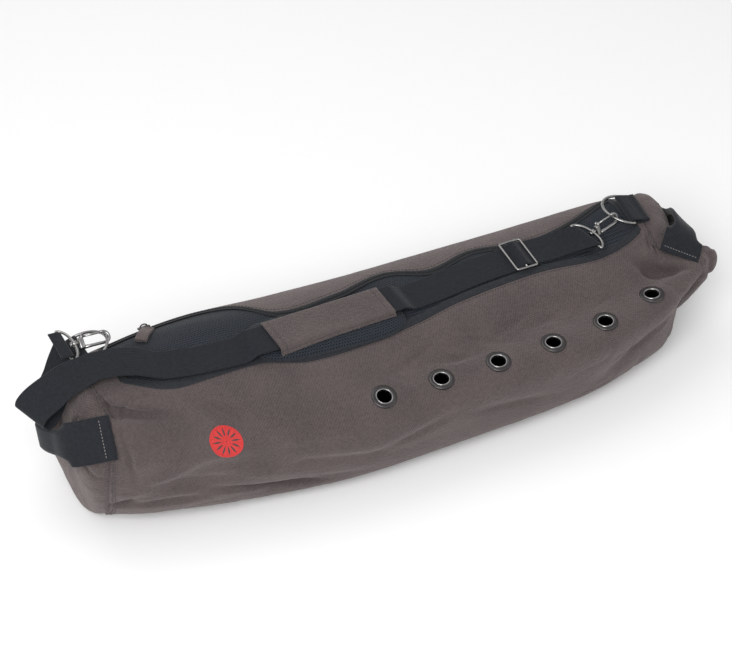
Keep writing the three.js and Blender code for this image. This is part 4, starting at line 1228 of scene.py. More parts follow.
@dataclass
class MeshPanel:
    """The knitted panel in the top of the bag, with a dark binding along its near edge."""

    finishes: Finishes
    rows: int = 260
    columns: int = 40

    def build(self) -> None:
        """Makes the panel and its binding."""
        first, last = WINDOW.data[0, 0], WINDOW.data[-1, 0]
        share = np.linspace(first + 0.001, last - 0.001, self.rows + 1)[:, None]
        near = WINDOW.read(share, "near") + 1.5 / DEGREE
        far = WINDOW.read(share, "far") + (ZIP_WIDTH - 1.0) / DEGREE
        across = np.linspace(0, 1, self.columns + 1)[None, :]
        around = near + (far - near) * across
        puff = 1.6 * np.sin(math.pi * np.clip(across, 0, 1)) ** 0.5
        base = Skin.at(share, around, 0.9)
        height = puff * 0.5 + 0.9 * Cloth.broad.at(base / vec(60, 22, 22) + 2.2)
        covered = np.exp(-(((base[..., 1] - 5) / 34) ** 2))
        height = np.minimum(height, 1.0) - 0.8 * covered
        points = base + Skin.normal(share, around) * height[..., None]
        uv = np.stack((around * DEGREE, np.broadcast_to(share * LENGTH, around.shape)), axis=-1) / 1000
        mesher = Mesher("mesh_panel")
        mesher.grid(points, uv)
        mesher.finish(Slot.MESH, [self.finishes.mesh], BAG, "mesh_panel")
        self.bind(share[:, 0])

    def bind(self, share: Points) -> None:
        """Adds the binding along the near edge and the two short ends."""
        mesher = Mesher("panel_binding")
        edge = WINDOW.read(share, "near") - 1.5 / DEGREE
        middle = Skin.at(share, edge, -0.1)
        side = Skin.at(share, edge - 4) - Skin.at(share, edge + 4)
        mesher.sweep(Stations(middle, side), flat_profile(9.0, 1.6, 6, 0.5))
        for place, sign in ((share[0], 1), (share[-1], -1)):
            turn = np.linspace(WINDOW.read(place, "near"), WINDOW.read(place, "far"), 40)
            line = Skin.at(place + sign * 2.5 / LENGTH, turn, -0.1)
            along = Skin.at(place + 0.01, turn) - Skin.at(place - 0.01, turn)
            mesher.sweep(Stations(line, along), flat_profile(8.0, 1.5, 6, 0.4))
        mesher.finish(Slot.MESH, [self.finishes.binding], BAG)


# Share of the bag's length at which the zip's slider stands
SLIDER_SHARE = 0.165


@dataclass
class Zip:
    """The zip along the far edge: tape, two rows of coil, slider and pull."""

    finishes: Finishes
    pitch: float = 1.7

    def line(self, share: Points, offset: float, lift: float) -> Points:
        """Points at a distance inside the window's far edge."""
        around = WINDOW.read(share, "far") + offset / DEGREE
        return Skin.at(share, around, -lift)

    def build(self) -> None:
        """Makes the zip."""
        share = np.linspace(WINDOW.data[0, 0] + 0.003, WINDOW.data[-1, 0] - 0.003, 300)
        mesher = Mesher("zip")
        middle = self.line(share, SEAM_GAP + ZIP_WIDTH / 2, 0.1)
        side = self.line(share, 9, 0) - self.line(share, 1, 0)
        mesher.sweep(Stations(middle, side), flat_profile(ZIP_WIDTH + 1.5, 1.0, 6))
        length = distances(middle)
        places = np.interp(np.arange(0, length[-1], self.pitch), length, share)
        for row, offset in enumerate((-0.75, 0.75)):
            shift = places + row * self.pitch / 2 / LENGTH
            centre = self.line(shift, SEAM_GAP + ZIP_WIDTH / 2 + offset, 1.0)
            ahead = unit(self.line(shift + 0.002, SEAM_GAP + ZIP_WIDTH / 2 + offset, 1.0) - centre)
            across = unit(self.line(shift, 9, 0) - self.line(shift, 1, 0))
            mesher.beads(centre, (ahead, across, np.cross(ahead, across)), (0.5, 1.3, 0.7))
        mesher.finish(Slot.ZIP, [self.finishes.tape], BAG, "zip")
        self.slider()
        self.pull()

    def slider(self) -> None:
        """Makes the slider with its small bridge."""
        share = np.array((SLIDER_SHARE,))
        seat = self.line(share, SEAM_GAP + ZIP_WIDTH / 2, 3.1)[0]
        ahead = unit(self.line(share + 0.004, SEAM_GAP + ZIP_WIDTH / 2, 3.1)[0] - seat)
        up = Skin.normal(share, WINDOW.read(share, "far") + 3.5)[0]
        across = unit(np.cross(up, ahead))
        mesher = Mesher("zip_slider")
        mesher.block(seat, (ahead, across, up), (12.0, 8.5, 2.8), 1.1)
        angle = np.linspace(0, math.pi, 14)
        bridge = seat + np.outer(np.cos(angle) * 4, ahead) + np.outer(1.2 + np.sin(angle) * 2.2, up)
        mesher.tube(bridge, 0.7, 8)
        mesher.finish(Slot.GUNMETAL, [self.finishes.gunmetal], BAG, "zip_slider")

    def pull(self) -> None:
        """Makes the folded canvas pull, two layers with raw edges."""
        share = np.array((SLIDER_SHARE,))
        start = Skin.at(share, WINDOW.read(share, "far") + (2 * SEAM_GAP + ZIP_WIDTH + 4.0) / DEGREE)[0]
        away = heading(236)
        across = np.cross(vec(0, 0, 1), away)
        mesher = Mesher("zip_pull")
        stops = np.linspace(-0.25, 1, 22)
        flat = start + np.outer(stops * 24, away)
        ground = Skin.height_above(flat[:, 0], flat[:, 1])
        for layer, (lift, width) in enumerate(((1.6, 13.0), (3.1, 12.2))):
            middle = flat.copy()
            middle[:, 2] = ground + lift + 1.4 * np.sin(np.clip(stops, 0, 1) * math.pi)
            side = np.broadcast_to(across, middle.shape)
            mesher.sweep(Stations(middle, side), flat_profile(width, 1.3, 8, 0.4 * layer))
        mesher.finish(Slot.CANVAS, [self.finishes.canvas], BAG, "zip_pull")


@dataclass
class Eyelet:
    """A two-part eyelet: a domed dark flange and a bright inner ring."""

    finishes: Finishes
    number: int

    def build(self) -> None:
        """Makes the eyelet by spinning its outline."""
        share = EYELET_SHARES[self.number - 1]
        up = cloth_normal(share, EYELET_AROUND)
        seat = Cloth.at(share, EYELET_AROUND) - up * CANVAS / 2
        outer = ((13.2, 0.9), (13.1, 1.35), (12.5, 1.75), (11.5, 2.0), (10.4, 2.05), (9.6, 1.9), (9.15, 1.6))
        inner = ((9.1, 1.7), (8.9, 2.15), (8.4, 2.35), (7.9, 2.15), (7.6, 1.6), (7.5, 0.6), (7.5, -1.6))
        back = ((8.2, -2.1), (10.6, -2.0), (12.4, -1.7), (13.1, -1.2), (13.1, -0.8))
        mesher = Mesher(f"eyelet_{self.number}")
        angle = np.radians(np.arange(0, 360, 7.5))
        side = unit(np.cross(up, vec(0, 1, 0)))
        over = np.cross(up, side)
        ring = np.cos(angle)[:, None] * side + np.sin(angle)[:, None] * over
        outline = np.array(outer + inner + back)
        points = seat + ring[:, None] * outline[None, :, 0:1] + up * outline[None, :, 1:2]
        split = len(outer)
        mesher.grid(points[:, : split + 1], looped=True, material=0)
        mesher.grid(points[:, split : split + len(inner)], looped=True, material=1)
        mesher.grid(points[:, split + len(inner) - 1 :], looped=True, material=0)
        mesher.grid(points[:, (-1, 0)], looped=True, material=0)
        bmesh.ops.remove_doubles(mesher.bm, verts=mesher.bm.verts[:], dist=1e-6)
        finish = [self.finishes.gunmetal, self.finishes.nickel]
        mesher.finish(Slot.GUNMETAL, finish, BAG, f"eyelet_{self.number}")


# Rings, hooks and bails


@dataclass(frozen=True)
class EndFittings:
    """How the D-ring and the hook of one end lie.

    x: share of the length. y: share of the diameter. yaw, tilt, roll: direction of the ring's bow, its slope
    and the slope of its bar. hook: where the hook sits on the bow. heading, slope, flat: direction of the
    hook, its slope and its turn about itself. All angles are in degrees.
    """

    end: End
    x: float
    y: float
    yaw: float
    tilt: float
    roll: float
    hook: float
    heading: float
    slope: float
    flat: float


FITTINGS = (
    EndFittings(
        End.LEFT, x=-0.434, y=0.28, yaw=2, tilt=14, roll=-13, hook=0, heading=3, slope=-9, flat=32
    ),
    EndFittings(
        End.RIGHT, x=0.43, y=0.12, yaw=170, tilt=14, roll=5, hook=38, heading=14, slope=4, flat=65
    ),
)


# Sizes of the rings, their webbing tabs, the hooks and the bails, in millimetres
RING_DEPTH, RING_WIDTH = 27.0, 53.0
TAB_WIDTH, TAB_REACH = 48.0, 18.0
HOOK_LENGTH, HOOK_WIRE, HOOK_BEND = 35.0, 3.2, 5.6
BAIL_DEPTH, BAIL_WIDTH, BAIL_SHIFT = 10.5, 45.0, 2.0

# Forward and lateral place of the gate's pin in the hook's frame
PIN = (6.2, 5.3)


@dataclass
class LoopFrame:
    """Place of a wire loop: the middle of its straight bar and its three directions."""

    bar: Points
    bow: Points
    across: Points
    up: Points

    def point(self, degrees: Points, depth: float, width: float) -> Points:
        """Points of the loop, 0 being the middle of its bow."""
        c = np.maximum(np.cos(np.radians(degrees)), 0)[..., None]
        s = np.sin(np.radians(degrees))[..., None]
        return self.bar + self.bow * depth * c + self.across * (width / 2) * s


def ring_frame(fit: EndFittings) -> LoopFrame:
    """Place of an end's D-ring."""
    flat = heading(fit.yaw)
    across = np.cross(vec(0, 0, 1), flat) * math.cos(math.radians(fit.roll))
    across[2] = math.sin(math.radians(fit.roll))
    x, y = fit.x * LENGTH, fit.y * DIAMETER
    rest = float(Skin.resting_height(x, y, across * TAB_WIDTH / 2))
    bar = vec(x, y, rest + GAP + WEB + CLEAR + WIRE / 2)
    bow = heading(fit.yaw, fit.tilt)
    return LoopFrame(bar, bow, across, np.cross(bow, across))


@dataclass
class HookFrame:
    """A hook's own frame: origin at its swivel, forward to its nose, lateral between its legs."""

    swivel: Points
    forward: Points
    lateral: Points
    normal: Points

    def place(self, points: Points) -> Points:
        """Points of the hook's frame in the bag's frame."""
        points = np.asarray(points, float)
        return (
            self.swivel
            + points[..., 0:1] * self.forward
            + points[..., 1:2] * self.lateral
            + points[..., 2:3] * self.normal
        )


def hook_frame(fit: EndFittings) -> HookFrame:
    """Place of an end's hook on its ring."""
    ring = ring_frame(fit)
    wire = ring.point(np.array(fit.hook), RING_DEPTH, RING_WIDTH)
    forward = heading(fit.heading, fit.slope)
    level = unit(np.cross(vec(0, 0, 1), forward))
    lateral = turned(level, forward, fit.flat)
    swivel = wire - forward * (HOOK_LENGTH - HOOK_WIRE - CLEAR - WIRE / 2)
    return HookFrame(swivel, forward, lateral, np.cross(forward, lateral))


def bail_frame(fit: EndFittings) -> LoopFrame:
    """Place of the wire bail behind an end's hook."""
    hook = hook_frame(fit)
    across = unit(np.cross(vec(0, 0, 1), hook.forward))
    apex = hook.place(vec(-2 * CLEAR - BAIL_SHIFT, 0, 0))
    bar = apex - hook.forward * BAIL_DEPTH
    return LoopFrame(bar, hook.forward, across, np.cross(hook.forward, across))


def wrapped(bar: Points, out: Points, up: Points, side: Points, steps: int = 12) -> tuple[Points, Points]:
    """Half a turn of webbing around a bar, from one face to the other."""
    reach = WIRE / 2 + CLEAR + WEB / 2
    angle = np.linspace(0, math.pi, steps + 1)[:, None]
    points = bar + out * reach * np.sin(angle) - up * reach * np.cos(angle)
    return points, np.broadcast_to(side, points.shape).copy()


@dataclass
class Hardware:
    """D-ring, webbing tab, snap hook with its gate, and bail of one end."""

    finishes: Finishes
    fit: EndFittings

    def build(self) -> None:
        """Makes all pieces of this end."""
        label = self.fit.end.label
        ring = ring_frame(self.fit)
        turn = np.linspace(-180, 180, 120, endpoint=False)
        mesher = Mesher(f"D-ring_{label}")
        mesher.tube(ring.point(turn, RING_DEPTH, RING_WIDTH), WIRE / 2, 14, looped=True)
        mesher.finish(Slot.STEEL, [self.finishes.nickel], BAG, f"d_ring_{label}")
        self.tab(ring)
        self.hook()
        self.gate()
        self.bail()

    def tab(self, ring: LoopFrame) -> None:
        """Makes the webbing tab around the ring's bar."""
        flat = heading(self.fit.yaw)
        side = ring.across * TAB_WIDTH / 2
        up = np.cross(flat, ring.across)
        loop, _ = wrapped(ring.bar, flat, up, side)
        reach = WIRE / 2 + CLEAR + WEB / 2
        share = np.linspace(1, 0.12, 10)
        lower = ring.bar - np.outer(TAB_REACH * share, flat)
        sides = np.broadcast_to(side, lower.shape)
        lower[:, 2] = Skin.resting_height(lower[:, 0], lower[:, 1], sides) + GAP + WEB / 2
        spread = 2 * reach + (WEB + GAP - 2 * reach) * np.minimum(1, share * 1.5)
        upper = (lower + np.outer(spread, up))[::-1]
        middle = np.concatenate((lower, loop, upper))
        mesher = Mesher(f"ring_tab_{self.fit.end.label}")
        stations = Stations(middle, np.broadcast_to(side, middle.shape).copy()).refined(1.2)
        mesher.sweep(stations, flat_profile(TAB_WIDTH, WEB, 14))
        for across in (-20.0, 20.0):
            line = upper[2:] + unit(side) * across + up * (WEB / 2 + 0.2)
            mesher.stitches(line, np.broadcast_to(up, line.shape), 3.4, 0.4, 1)
        for row in (3, 8):
            ends = upper[row] + np.outer(np.linspace(-20, 20, 12), unit(side)) + up * (WEB / 2 + 0.2)
            mesher.stitches(ends, np.broadcast_to(up, ends.shape), 3.4, 0.4, 1)
        finish = [self.finishes.webbing, self.finishes.thread]
        mesher.finish(Slot.WEBBING, finish, BAG, f"ring_tab_{self.fit.end.label}")

    def hook(self) -> None:
        """Makes the hook: block, bow, pin and swivel neck."""
        place = hook_frame(self.fit)
        half, bend = HOOK_BEND, HOOK_LENGTH - HOOK_WIRE / 2 - HOOK_BEND
        angle = np.linspace(-90, 90, 25)
        arc = np.stack((bend + half * np.cos(np.radians(angle)), half * np.sin(np.radians(angle))), axis=-1)
        path = np.concatenate((((5.0, -half),), ((bend * 0.5, -half),), arc, ((bend - 2.0, half),)))
        line = place.place(np.concatenate((path, np.zeros((len(path), 1))), axis=1))
        mesher = Mesher(f"hook_{self.fit.end.label}")
        radius = np.full(len(line), HOOK_WIRE / 2)
        radius[0] = 2.1
        mesher.tube(line, radius, 14)
        axes = (place.forward, place.lateral, place.normal)
        mesher.block(place.place(vec(4.3, -1.2, 0)), axes, (5.6, 11.8, 5.2), 1.4)
        mesher.tube(place.place(np.array(((-5.2, 0, 0), (2.5, 0, 0)))), 1.3, 12)
        head = np.array(((-6.9, 0, 0), (-6.5, 0, 0), (-5.4, 0, 0), (-5.1, 0, 0)))
        mesher.tube(place.place(head), np.array((1.5, 2.3, 2.3, 1.9)), 16)
        mesher.tube(place.place(np.array(((*PIN, -2.6), (*PIN, 2.6)))), 0.75, 10)
        for z in (-2.0, 2.0):
            ear = place.place(np.array(((*PIN, z - 0.6), (*PIN, z + 0.6))))
            mesher.tube(ear, 2.1, 16)
            arm = place.place(np.array(((4.4, 2.5, z), (*PIN, z))))
            mesher.tube(arm, 0.75, 10)
        mesher.finish(Slot.STEEL, [self.finishes.nickel], BAG, f"hook_{self.fit.end.label}")

    def gate(self) -> None:
        """Makes the sprung gate."""
        place = hook_frame(self.fit)
        label = self.fit.end.label
        mesher = Mesher(f"gate_{label}")
        bar = place.place(np.array(((7.5, PIN[1], 0), (24.8, PIN[1], 0), (25.4, PIN[1], 0))))
        mesher.tube(bar, np.array((1.1, 1.1, 0.7)), 12)
        eye = np.array([(*PIN, z) for z in (-1.1, -0.9, 0.9, 1.1)])
        mesher.tube(place.place(eye), np.array((1.6, 1.9, 1.9, 1.6)), 16)
        mesher.finish(Slot.STEEL, [self.finishes.nickel], f"gate_{label}_body", f"gate_{label}")

    def bail(self) -> None:
        """Makes the bail with the barrel that the hook swivels in."""
        loop = bail_frame(self.fit)
        hook = hook_frame(self.fit)
        turn = np.linspace(-180, 180, 110, endpoint=False)
        mesher = Mesher(f"bail_{self.fit.end.label}")
        mesher.tube(loop.point(turn, BAIL_DEPTH, BAIL_WIDTH), WIRE / 2, 14, looped=True)
        barrel = np.array(((-4.7, 0, 0), (-4.4, 0, 0), (-0.8, 0, 0), (-0.5, 0, 0)))
        mesher.tube(hook.place(barrel), np.array((2.7, 3.1, 3.1, 2.7)), 18)
        mesher.finish(Slot.STEEL, [self.finishes.nickel], BAG, f"bail_{self.fit.end.label}")


# Shoulder strap with its slide, pad and sleeve

SLIDE_LENGTH, SLIDE_WIDTH, SLIDE_WIRE, SLIDE_CORNER = 27.0, 46.0, 2.6, 3.8
WEAVE_BEFORE, WEAVE_AFTER, WEAVE_SPREAD = 9.0, 6.0, 5.5
CLIMB = SLIDE_WIRE + WEB + 3 * CLEAR
PAD_LENGTH, PAD_WIDTH, PAD_THICKNESS, PAD_EDGE = 166.0, 63.0, 7.0, 1.6
PAD_Y = -0.034 * DIAMETER
SLEEVE_LENGTH, SLEEVE_WIDTH, SLEEVE_THICKNESS, SLEEVE_SHIFT = 134.0, 45.0, 1.6, 4.0
DOUBLED, TAIL = 24.0, 10.0

# Where the strap leaves the bag at the left
LOOP_START = -0.435 * LENGTH

# The loop past the left end: its far and its near edge, in millimetres
LOOP_EDGES = (
    ((-336, 31, 168), (-336, -11, 158)),
    ((-359, 31, 164), (-353, -15, 145)),
    ((-377, 31, 156), (-363, -16, 138)),
    ((-388, 28, 149), (-367, -16, 132)),
    ((-391, 26, 143), (-367, -16, 128)),
    ((-387, 26, 137), (-364, -14, 124)),
    ((-379, 27, 132), (-356, -8, 125)),
    ((-364, 36, 139), (-340, 5, 139)),
    ((-350, 46, 149), (-326, 16, 149)),
)


def strap_lift(x: Points) -> Points:
    """How far the strap's upper layer runs above the bag, over the pad and over the slide."""
    half = PAD_LENGTH / 2
    on_pad = smooth_step(x, PAD_X - half - 16, PAD_X - half) * (
        1 - smooth_step(x, PAD_X + half, PAD_X + half + 16)
    )
    doubled = smooth_step(x, SLIDE_X - WEAVE_BEFORE, SLIDE_X + WEAVE_AFTER)
    weave = np.exp(-(((x - SLIDE_X) / WEAVE_SPREAD) ** 2))
    rise = np.maximum(STRAP_RISE.read(x / LENGTH, "rise"), 0)
    return 2 * GAP + rise + on_pad * (PAD_THICKNESS + GAP) + doubled * (WEB + GAP) + weave * CLIMB


def strap_middle(x: Points) -> tuple[Points, Points]:
    """Points where the strap would touch the bag, and half its width as vectors."""
    x = np.asarray(x, float)
    y = STRAP_LINE.read(x / LENGTH, "y") * DIAMETER
    slope = (STRAP_LINE.read(x / LENGTH + 0.005, "y") * DIAMETER - y) / (0.005 * LENGTH)
    side = unit(np.stack((slope, -np.ones_like(x), np.zeros_like(x)), axis=-1)) * STRAP_WIDTH / 2
    height = Skin.resting_height(x, y, side) + WEB / 2
    return np.stack((x, y, height), axis=-1), side


def towards(start: Points, end: Points, count: int) -> Points:
    """Points between two ends, without them."""
    share = (np.arange(1, count) / count)[:, None]
    return start + (end - start) * share


@dataclass
class Strap:
    """The shoulder strap in one ribbon."""

    finishes: Finishes

    def stations(self) -> Stations:
        """Where the strap runs, from its end under the slide to its tail at the left bail."""
        right, left = (bail_frame(FITTINGS[1]), bail_frame(FITTINGS[0]))
        right_side = -right.across * STRAP_WIDTH / 2
        turn, turn_side = wrapped(right.bar, right.bow, right.up, right_side)
        join = right.bar[0] - DOUBLED
        start = SLIDE_X + SLIDE_WIRE / 2 + 3
        under, under_side = strap_middle(np.linspace(start, join, 12))
        under[:, 2] += GAP
        places = np.concatenate(
            (
                np.linspace(join, SLIDE_X + 12, 14),
                np.linspace(SLIDE_X + 11, SLIDE_X - 11, 23),
                np.linspace(SLIDE_X - 13, LOOP_START, 176),
            )
        )
        over, over_side = strap_middle(places)
        over[:, 2] += strap_lift(places)
        loop = [(np.array(far) + np.array(near)) / 2.0 for far, near in LOOP_EDGES]
        loop_side = [(np.array(near) - np.array(far)) / 2.0 for far, near in LOOP_EDGES]
        left_side = -left.across * STRAP_WIDTH / 2
        hold, hold_side = wrapped(left.bar, left.bow, left.up, left_side)
        tail = hold[-1] - left.bow * TAIL
        middle = (
            under,
            towards(under[-1], turn[0], 3),
            turn,
            towards(turn[-1], over[0], 3),
            over,
            np.array(loop),
            towards(loop[-1], hold[0], 3),
            hold,
            tail[None],
        )
        side = (
            under_side,
            towards(under_side[-1], turn_side[0], 3),
            turn_side,
            towards(turn_side[-1], over_side[0], 3),
            over_side,
            np.array(loop_side),
            towards(loop_side[-1], hold_side[0], 3),
            hold_side,
            left_side[None],
        )
        return Stations(np.concatenate(middle), np.concatenate(side))

    def build(self) -> None:
        """Makes the strap."""
        stations = self.stations().refined(1.6)
        stations.side[:] = unit(stations.side)
        mesher = Mesher("strap")
        mesher.sweep(stations, flat_profile(STRAP_WIDTH, WEB, 16))
        mesher.finish(Slot.WEBBING, [self.finishes.webbing], BAG, "strap")

    def slide(self) -> None:
        """Makes the slide adjuster: a wire frame with a middle bar."""
        ends, _ = strap_middle(np.array((SLIDE_X - SLIDE_LENGTH / 2, SLIDE_X, SLIDE_X + SLIDE_LENGTH / 2)))
        along = unit(ends[2] - ends[0])
        across = unit(np.cross(vec(0, 0, 1), along))
        bar = (ends[0] + ends[2]) / 2
        bar[2] = max(bar[2], ends[1][2]) + 2 * GAP + 1.5 * WEB + CLEAR + SLIDE_WIRE / 2
        half = (SLIDE_LENGTH - SLIDE_WIRE) / 2
        wide = (SLIDE_WIDTH - SLIDE_WIRE) / 2
        radius = SLIDE_CORNER - SLIDE_WIRE / 2
        path = []
        for x, y, begin in ((1, 1, 0), (-1, 1, 90), (-1, -1, 180), (1, -1, 270)):
            corner = bar + along * x * (half - radius) + across * y * (wide - radius)
            for angle in np.radians(np.arange(begin, begin + 91, 15)):
                path.append(corner + radius * (along * math.cos(angle) + across * math.sin(angle)))
        mesher = Mesher("slide_adjuster")
        mesher.tube(np.array(path), SLIDE_WIRE / 2, 12, looped=True)
        ends = np.array((bar - across * wide, bar + across * wide))
        mesher.tube(ends, 0.95, 12)
        mesher.finish(Slot.GUNMETAL, [self.finishes.nickel], BAG, "slide_adjuster")


def pad_half(along: Points) -> Points:
    """Half the pad's width at a share of its length."""
    return PAD_WIDTH / 2 * np.maximum(1 - np.abs(2 * along - 1) ** 4, 0) ** 0.25


def pad_top(x: Points, y: Points) -> Points:
    """Height of the pad's upper face."""
    along = (x - PAD_X) / PAD_LENGTH
    side = (y - PAD_Y) / pad_half(np.clip(along + 0.5, 0.015, 0.985))
    crown = (1 - np.minimum(side**6, 1)) * (1 - np.minimum((2 * along) ** 10, 1))
    return Skin.height_above(x, y) + GAP + PAD_EDGE + (PAD_THICKNESS - PAD_EDGE) * crown


@dataclass
class Pad:
    """The padded mesh under the strap and the canvas sleeve that holds it."""

    finishes: Finishes

    def build(self) -> None:
        """Makes the pad with a bound edge."""
        share = np.linspace(0.004, 0.996, 90)[:, None]
        across = np.linspace(0, 1, 36)[None, :]
        x = PAD_X + (share - 0.5) * PAD_LENGTH + 0 * across
        half = pad_half(np.clip(share, 0.015, 0.985))
        y = PAD_Y - (2 * across - 1) * half
        top = pad_top(x, y)
        bottom = Skin.height_above(x, y) + GAP
        upper = np.stack((x, y, top), axis=-1)
        lower = np.stack((x, y, bottom), axis=-1)[:, ::-1]
        mesher = Mesher("strap_pad")
        mesher.grid(np.concatenate((upper, lower), axis=1), closed=True, capped=True)
        edge = np.linspace(0, 2 * math.pi, 160, endpoint=False)
        along = signed_power(np.cos(edge), 0.5) * 0.5
        rim_x = PAD_X + along * (PAD_LENGTH - 2)
        rim_y = PAD_Y + np.sign(np.sin(edge)) * np.minimum(
            pad_half(np.clip(along + 0.5, 0.004, 0.996)), PAD_WIDTH / 2 * np.abs(np.sin(edge)) ** 0.5
        )
        rim_z = Skin.height_above(rim_x, rim_y) + GAP + PAD_EDGE / 2 + 0.4
        mesher.tube(np.stack((rim_x, rim_y, rim_z), axis=-1), 1.3, 8, looped=True, material=1)
        pad = mesher.finish(Slot.MESH, [self.finishes.mesh, self.finishes.binding], BAG, "strap_pad")

    def sleeve(self) -> None:
        """Makes the canvas sleeve over the strap, with its stitches."""
        x = PAD_X + SLEEVE_SHIFT + np.linspace(-0.5, 0.5, 60) * SLEEVE_LENGTH
        middle, side = strap_middle(x)
        lift = strap_lift(x)
        inner = STRAP_WIDTH / 2 + 0.8
        half = np.array((0.3, 0.6, 0.84, 0.9, 0.95, 0.985, 1))
        offsets = np.concatenate((-half[::-1], (0,), half))
        rows = []
        for offset in offsets * SLEEVE_WIDTH / 2:
            point = middle + side * (offset / (STRAP_WIDTH / 2))
            over = middle[:, 2] + lift + WEB / 2 + 2 * GAP
            pad = np.minimum(pad_top(point[:, 0], point[:, 1]) + GAP, over)
            drop = smooth_step(abs(offset), inner, SLEEVE_WIDTH / 2)
            point[:, 2] = over + (pad - over) * drop
            rows.append(point)
        lower = np.stack(rows, axis=1)
        upper = lower + vec(0, 0, SLEEVE_THICKNESS)
        crown = 0.5 * Cloth.fine.at(upper / vec(24, 14, 14))
        upper[..., 2] += np.clip(crown, -0.2, 0.5)
        ring = np.concatenate((upper, lower[:, ::-1]), axis=1)
        mesher = Mesher("pad_sleeve")
        mesher.grid(ring, closed=True, capped=True)
        up = vec(0, 0, 1)
        for row in (upper[3], upper[-4], upper[:, 2], upper[:, -3]):
            mesher.stitches(row + up * 0.15, np.broadcast_to(up, row.shape), 3.2, 0.42, 1)
        finish = [self.finishes.canvas, self.finishes.thread]
        mesher.finish(Slot.CANVAS, finish, BAG, "pad_sleeve")


# Handles

HANDLE_PATHS = {
    End.LEFT: Table(
        "along out up",
        (0, 0, 0),
        (0.12, 0.19, 0.005),
        (0.3, 0.24, 0.005),
        (0.48, 0.26, 0.02),
        (0.6, 0.22, 0.03),
        (0.72, 0.16, 0.05),
        (0.88, 0.1, 0.04),
        (1, 0, 0),
    ),
    End.RIGHT: Table(
        "along out up",
        (0, 0, 0),
        (0.12, 0.08, 0.09),
        (0.25, 0.15, 0.13),
        (0.5, 0.22, 0.13),
        (0.75, 0.29, 0.05),
        (0.88, 0.26, 0.02),
        (1, 0, 0),
    ),
}
HANDLE_ROOTS = {End.LEFT: (49.0, -104.0, 0.02), End.RIGHT: (40.0, -106.0, 0.983)}
GRIP_WIDTH = 26.0
GRIP = Table("along fold", (0, 0), (0.13, 0), (0.28, 1), (0.72, 1), (0.87, 0), (1, 0))


@dataclass
class Handle:
    """A webbing grab handle whose middle is folded to a narrow grip."""

    finishes: Finishes
    end: End

    def root(self, around: float, share: float) -> tuple[Points, Points]:
        """Place and half width of one sewn end."""
        spread = HANDLE_WIDTH / 2 / DEGREE
        side = Skin.at(share, around - spread) - Skin.at(share, around + spread)
        return Skin.at(share, around, -GAP - WEB), unit(side) * HANDLE_WIDTH / 2

    def build(self) -> None:
        """Makes the handle and the stitches at its roots."""
        front, back, share = HANDLE_ROOTS[self.end]
        start, start_side = self.root(front, share)
        stop, stop_side = self.root(back, share)
        along = np.linspace(0, 1, 110)
        path = HANDLE_PATHS[self.end]
        middle = start + (stop - start) * along[:, None]
        middle[:, 0] += self.end.value * DIAMETER * path.read(along, "out")
        middle[:, 2] += DIAMETER * path.read(along, "up")
        side = start_side + (-stop_side - start_side) * along[:, None]
        stations = Stations(middle, side)
        curl = np.clip(GRIP.read(along, "fold"), 0, 1)
        sense = np.sign(np.dot(stations.up()[len(along) // 2], vec(self.end.value, 0, 0)))
        profile = np.stack([curled_profile(HANDLE_WIDTH, GRIP_WIDTH, WEB, float(c)) for c in curl])
        profile[..., 1] *= sense
        mesher = Mesher(f"handle_{self.end.label}")
        mesher.sweep(stations, profile)
        for where in (start, stop):
            self.stitch_root(mesher, stations, where)
        finish = [self.finishes.webbing, self.finishes.grey]
        mesher.finish(Slot.WEBBING, finish, BAG, f"handle_{self.end.label}")

    def stitch_root(self, mesher: Mesher, stations: Stations, where: Points) -> None:
        """Adds a row of pale stitches across a root, a little way in from its end."""
        index = np.argsort(np.linalg.norm(stations.middle - where, axis=1))[3]
        up, across = stations.up()[index], stations.across()[index]
        sense = 1 if np.dot(up, stations.middle[index] - vec(0, 0, 70)) > 0 else -1
        line = stations.middle[index] + np.outer(np.linspace(-19, 19, 14), across)
        line = line + sense * up * (WEB / 2 + 0.15)
        mesher.stitches(line, np.broadcast_to(sense * up, line.shape), 3.0, 0.42, 1)


# Embroidered rosette


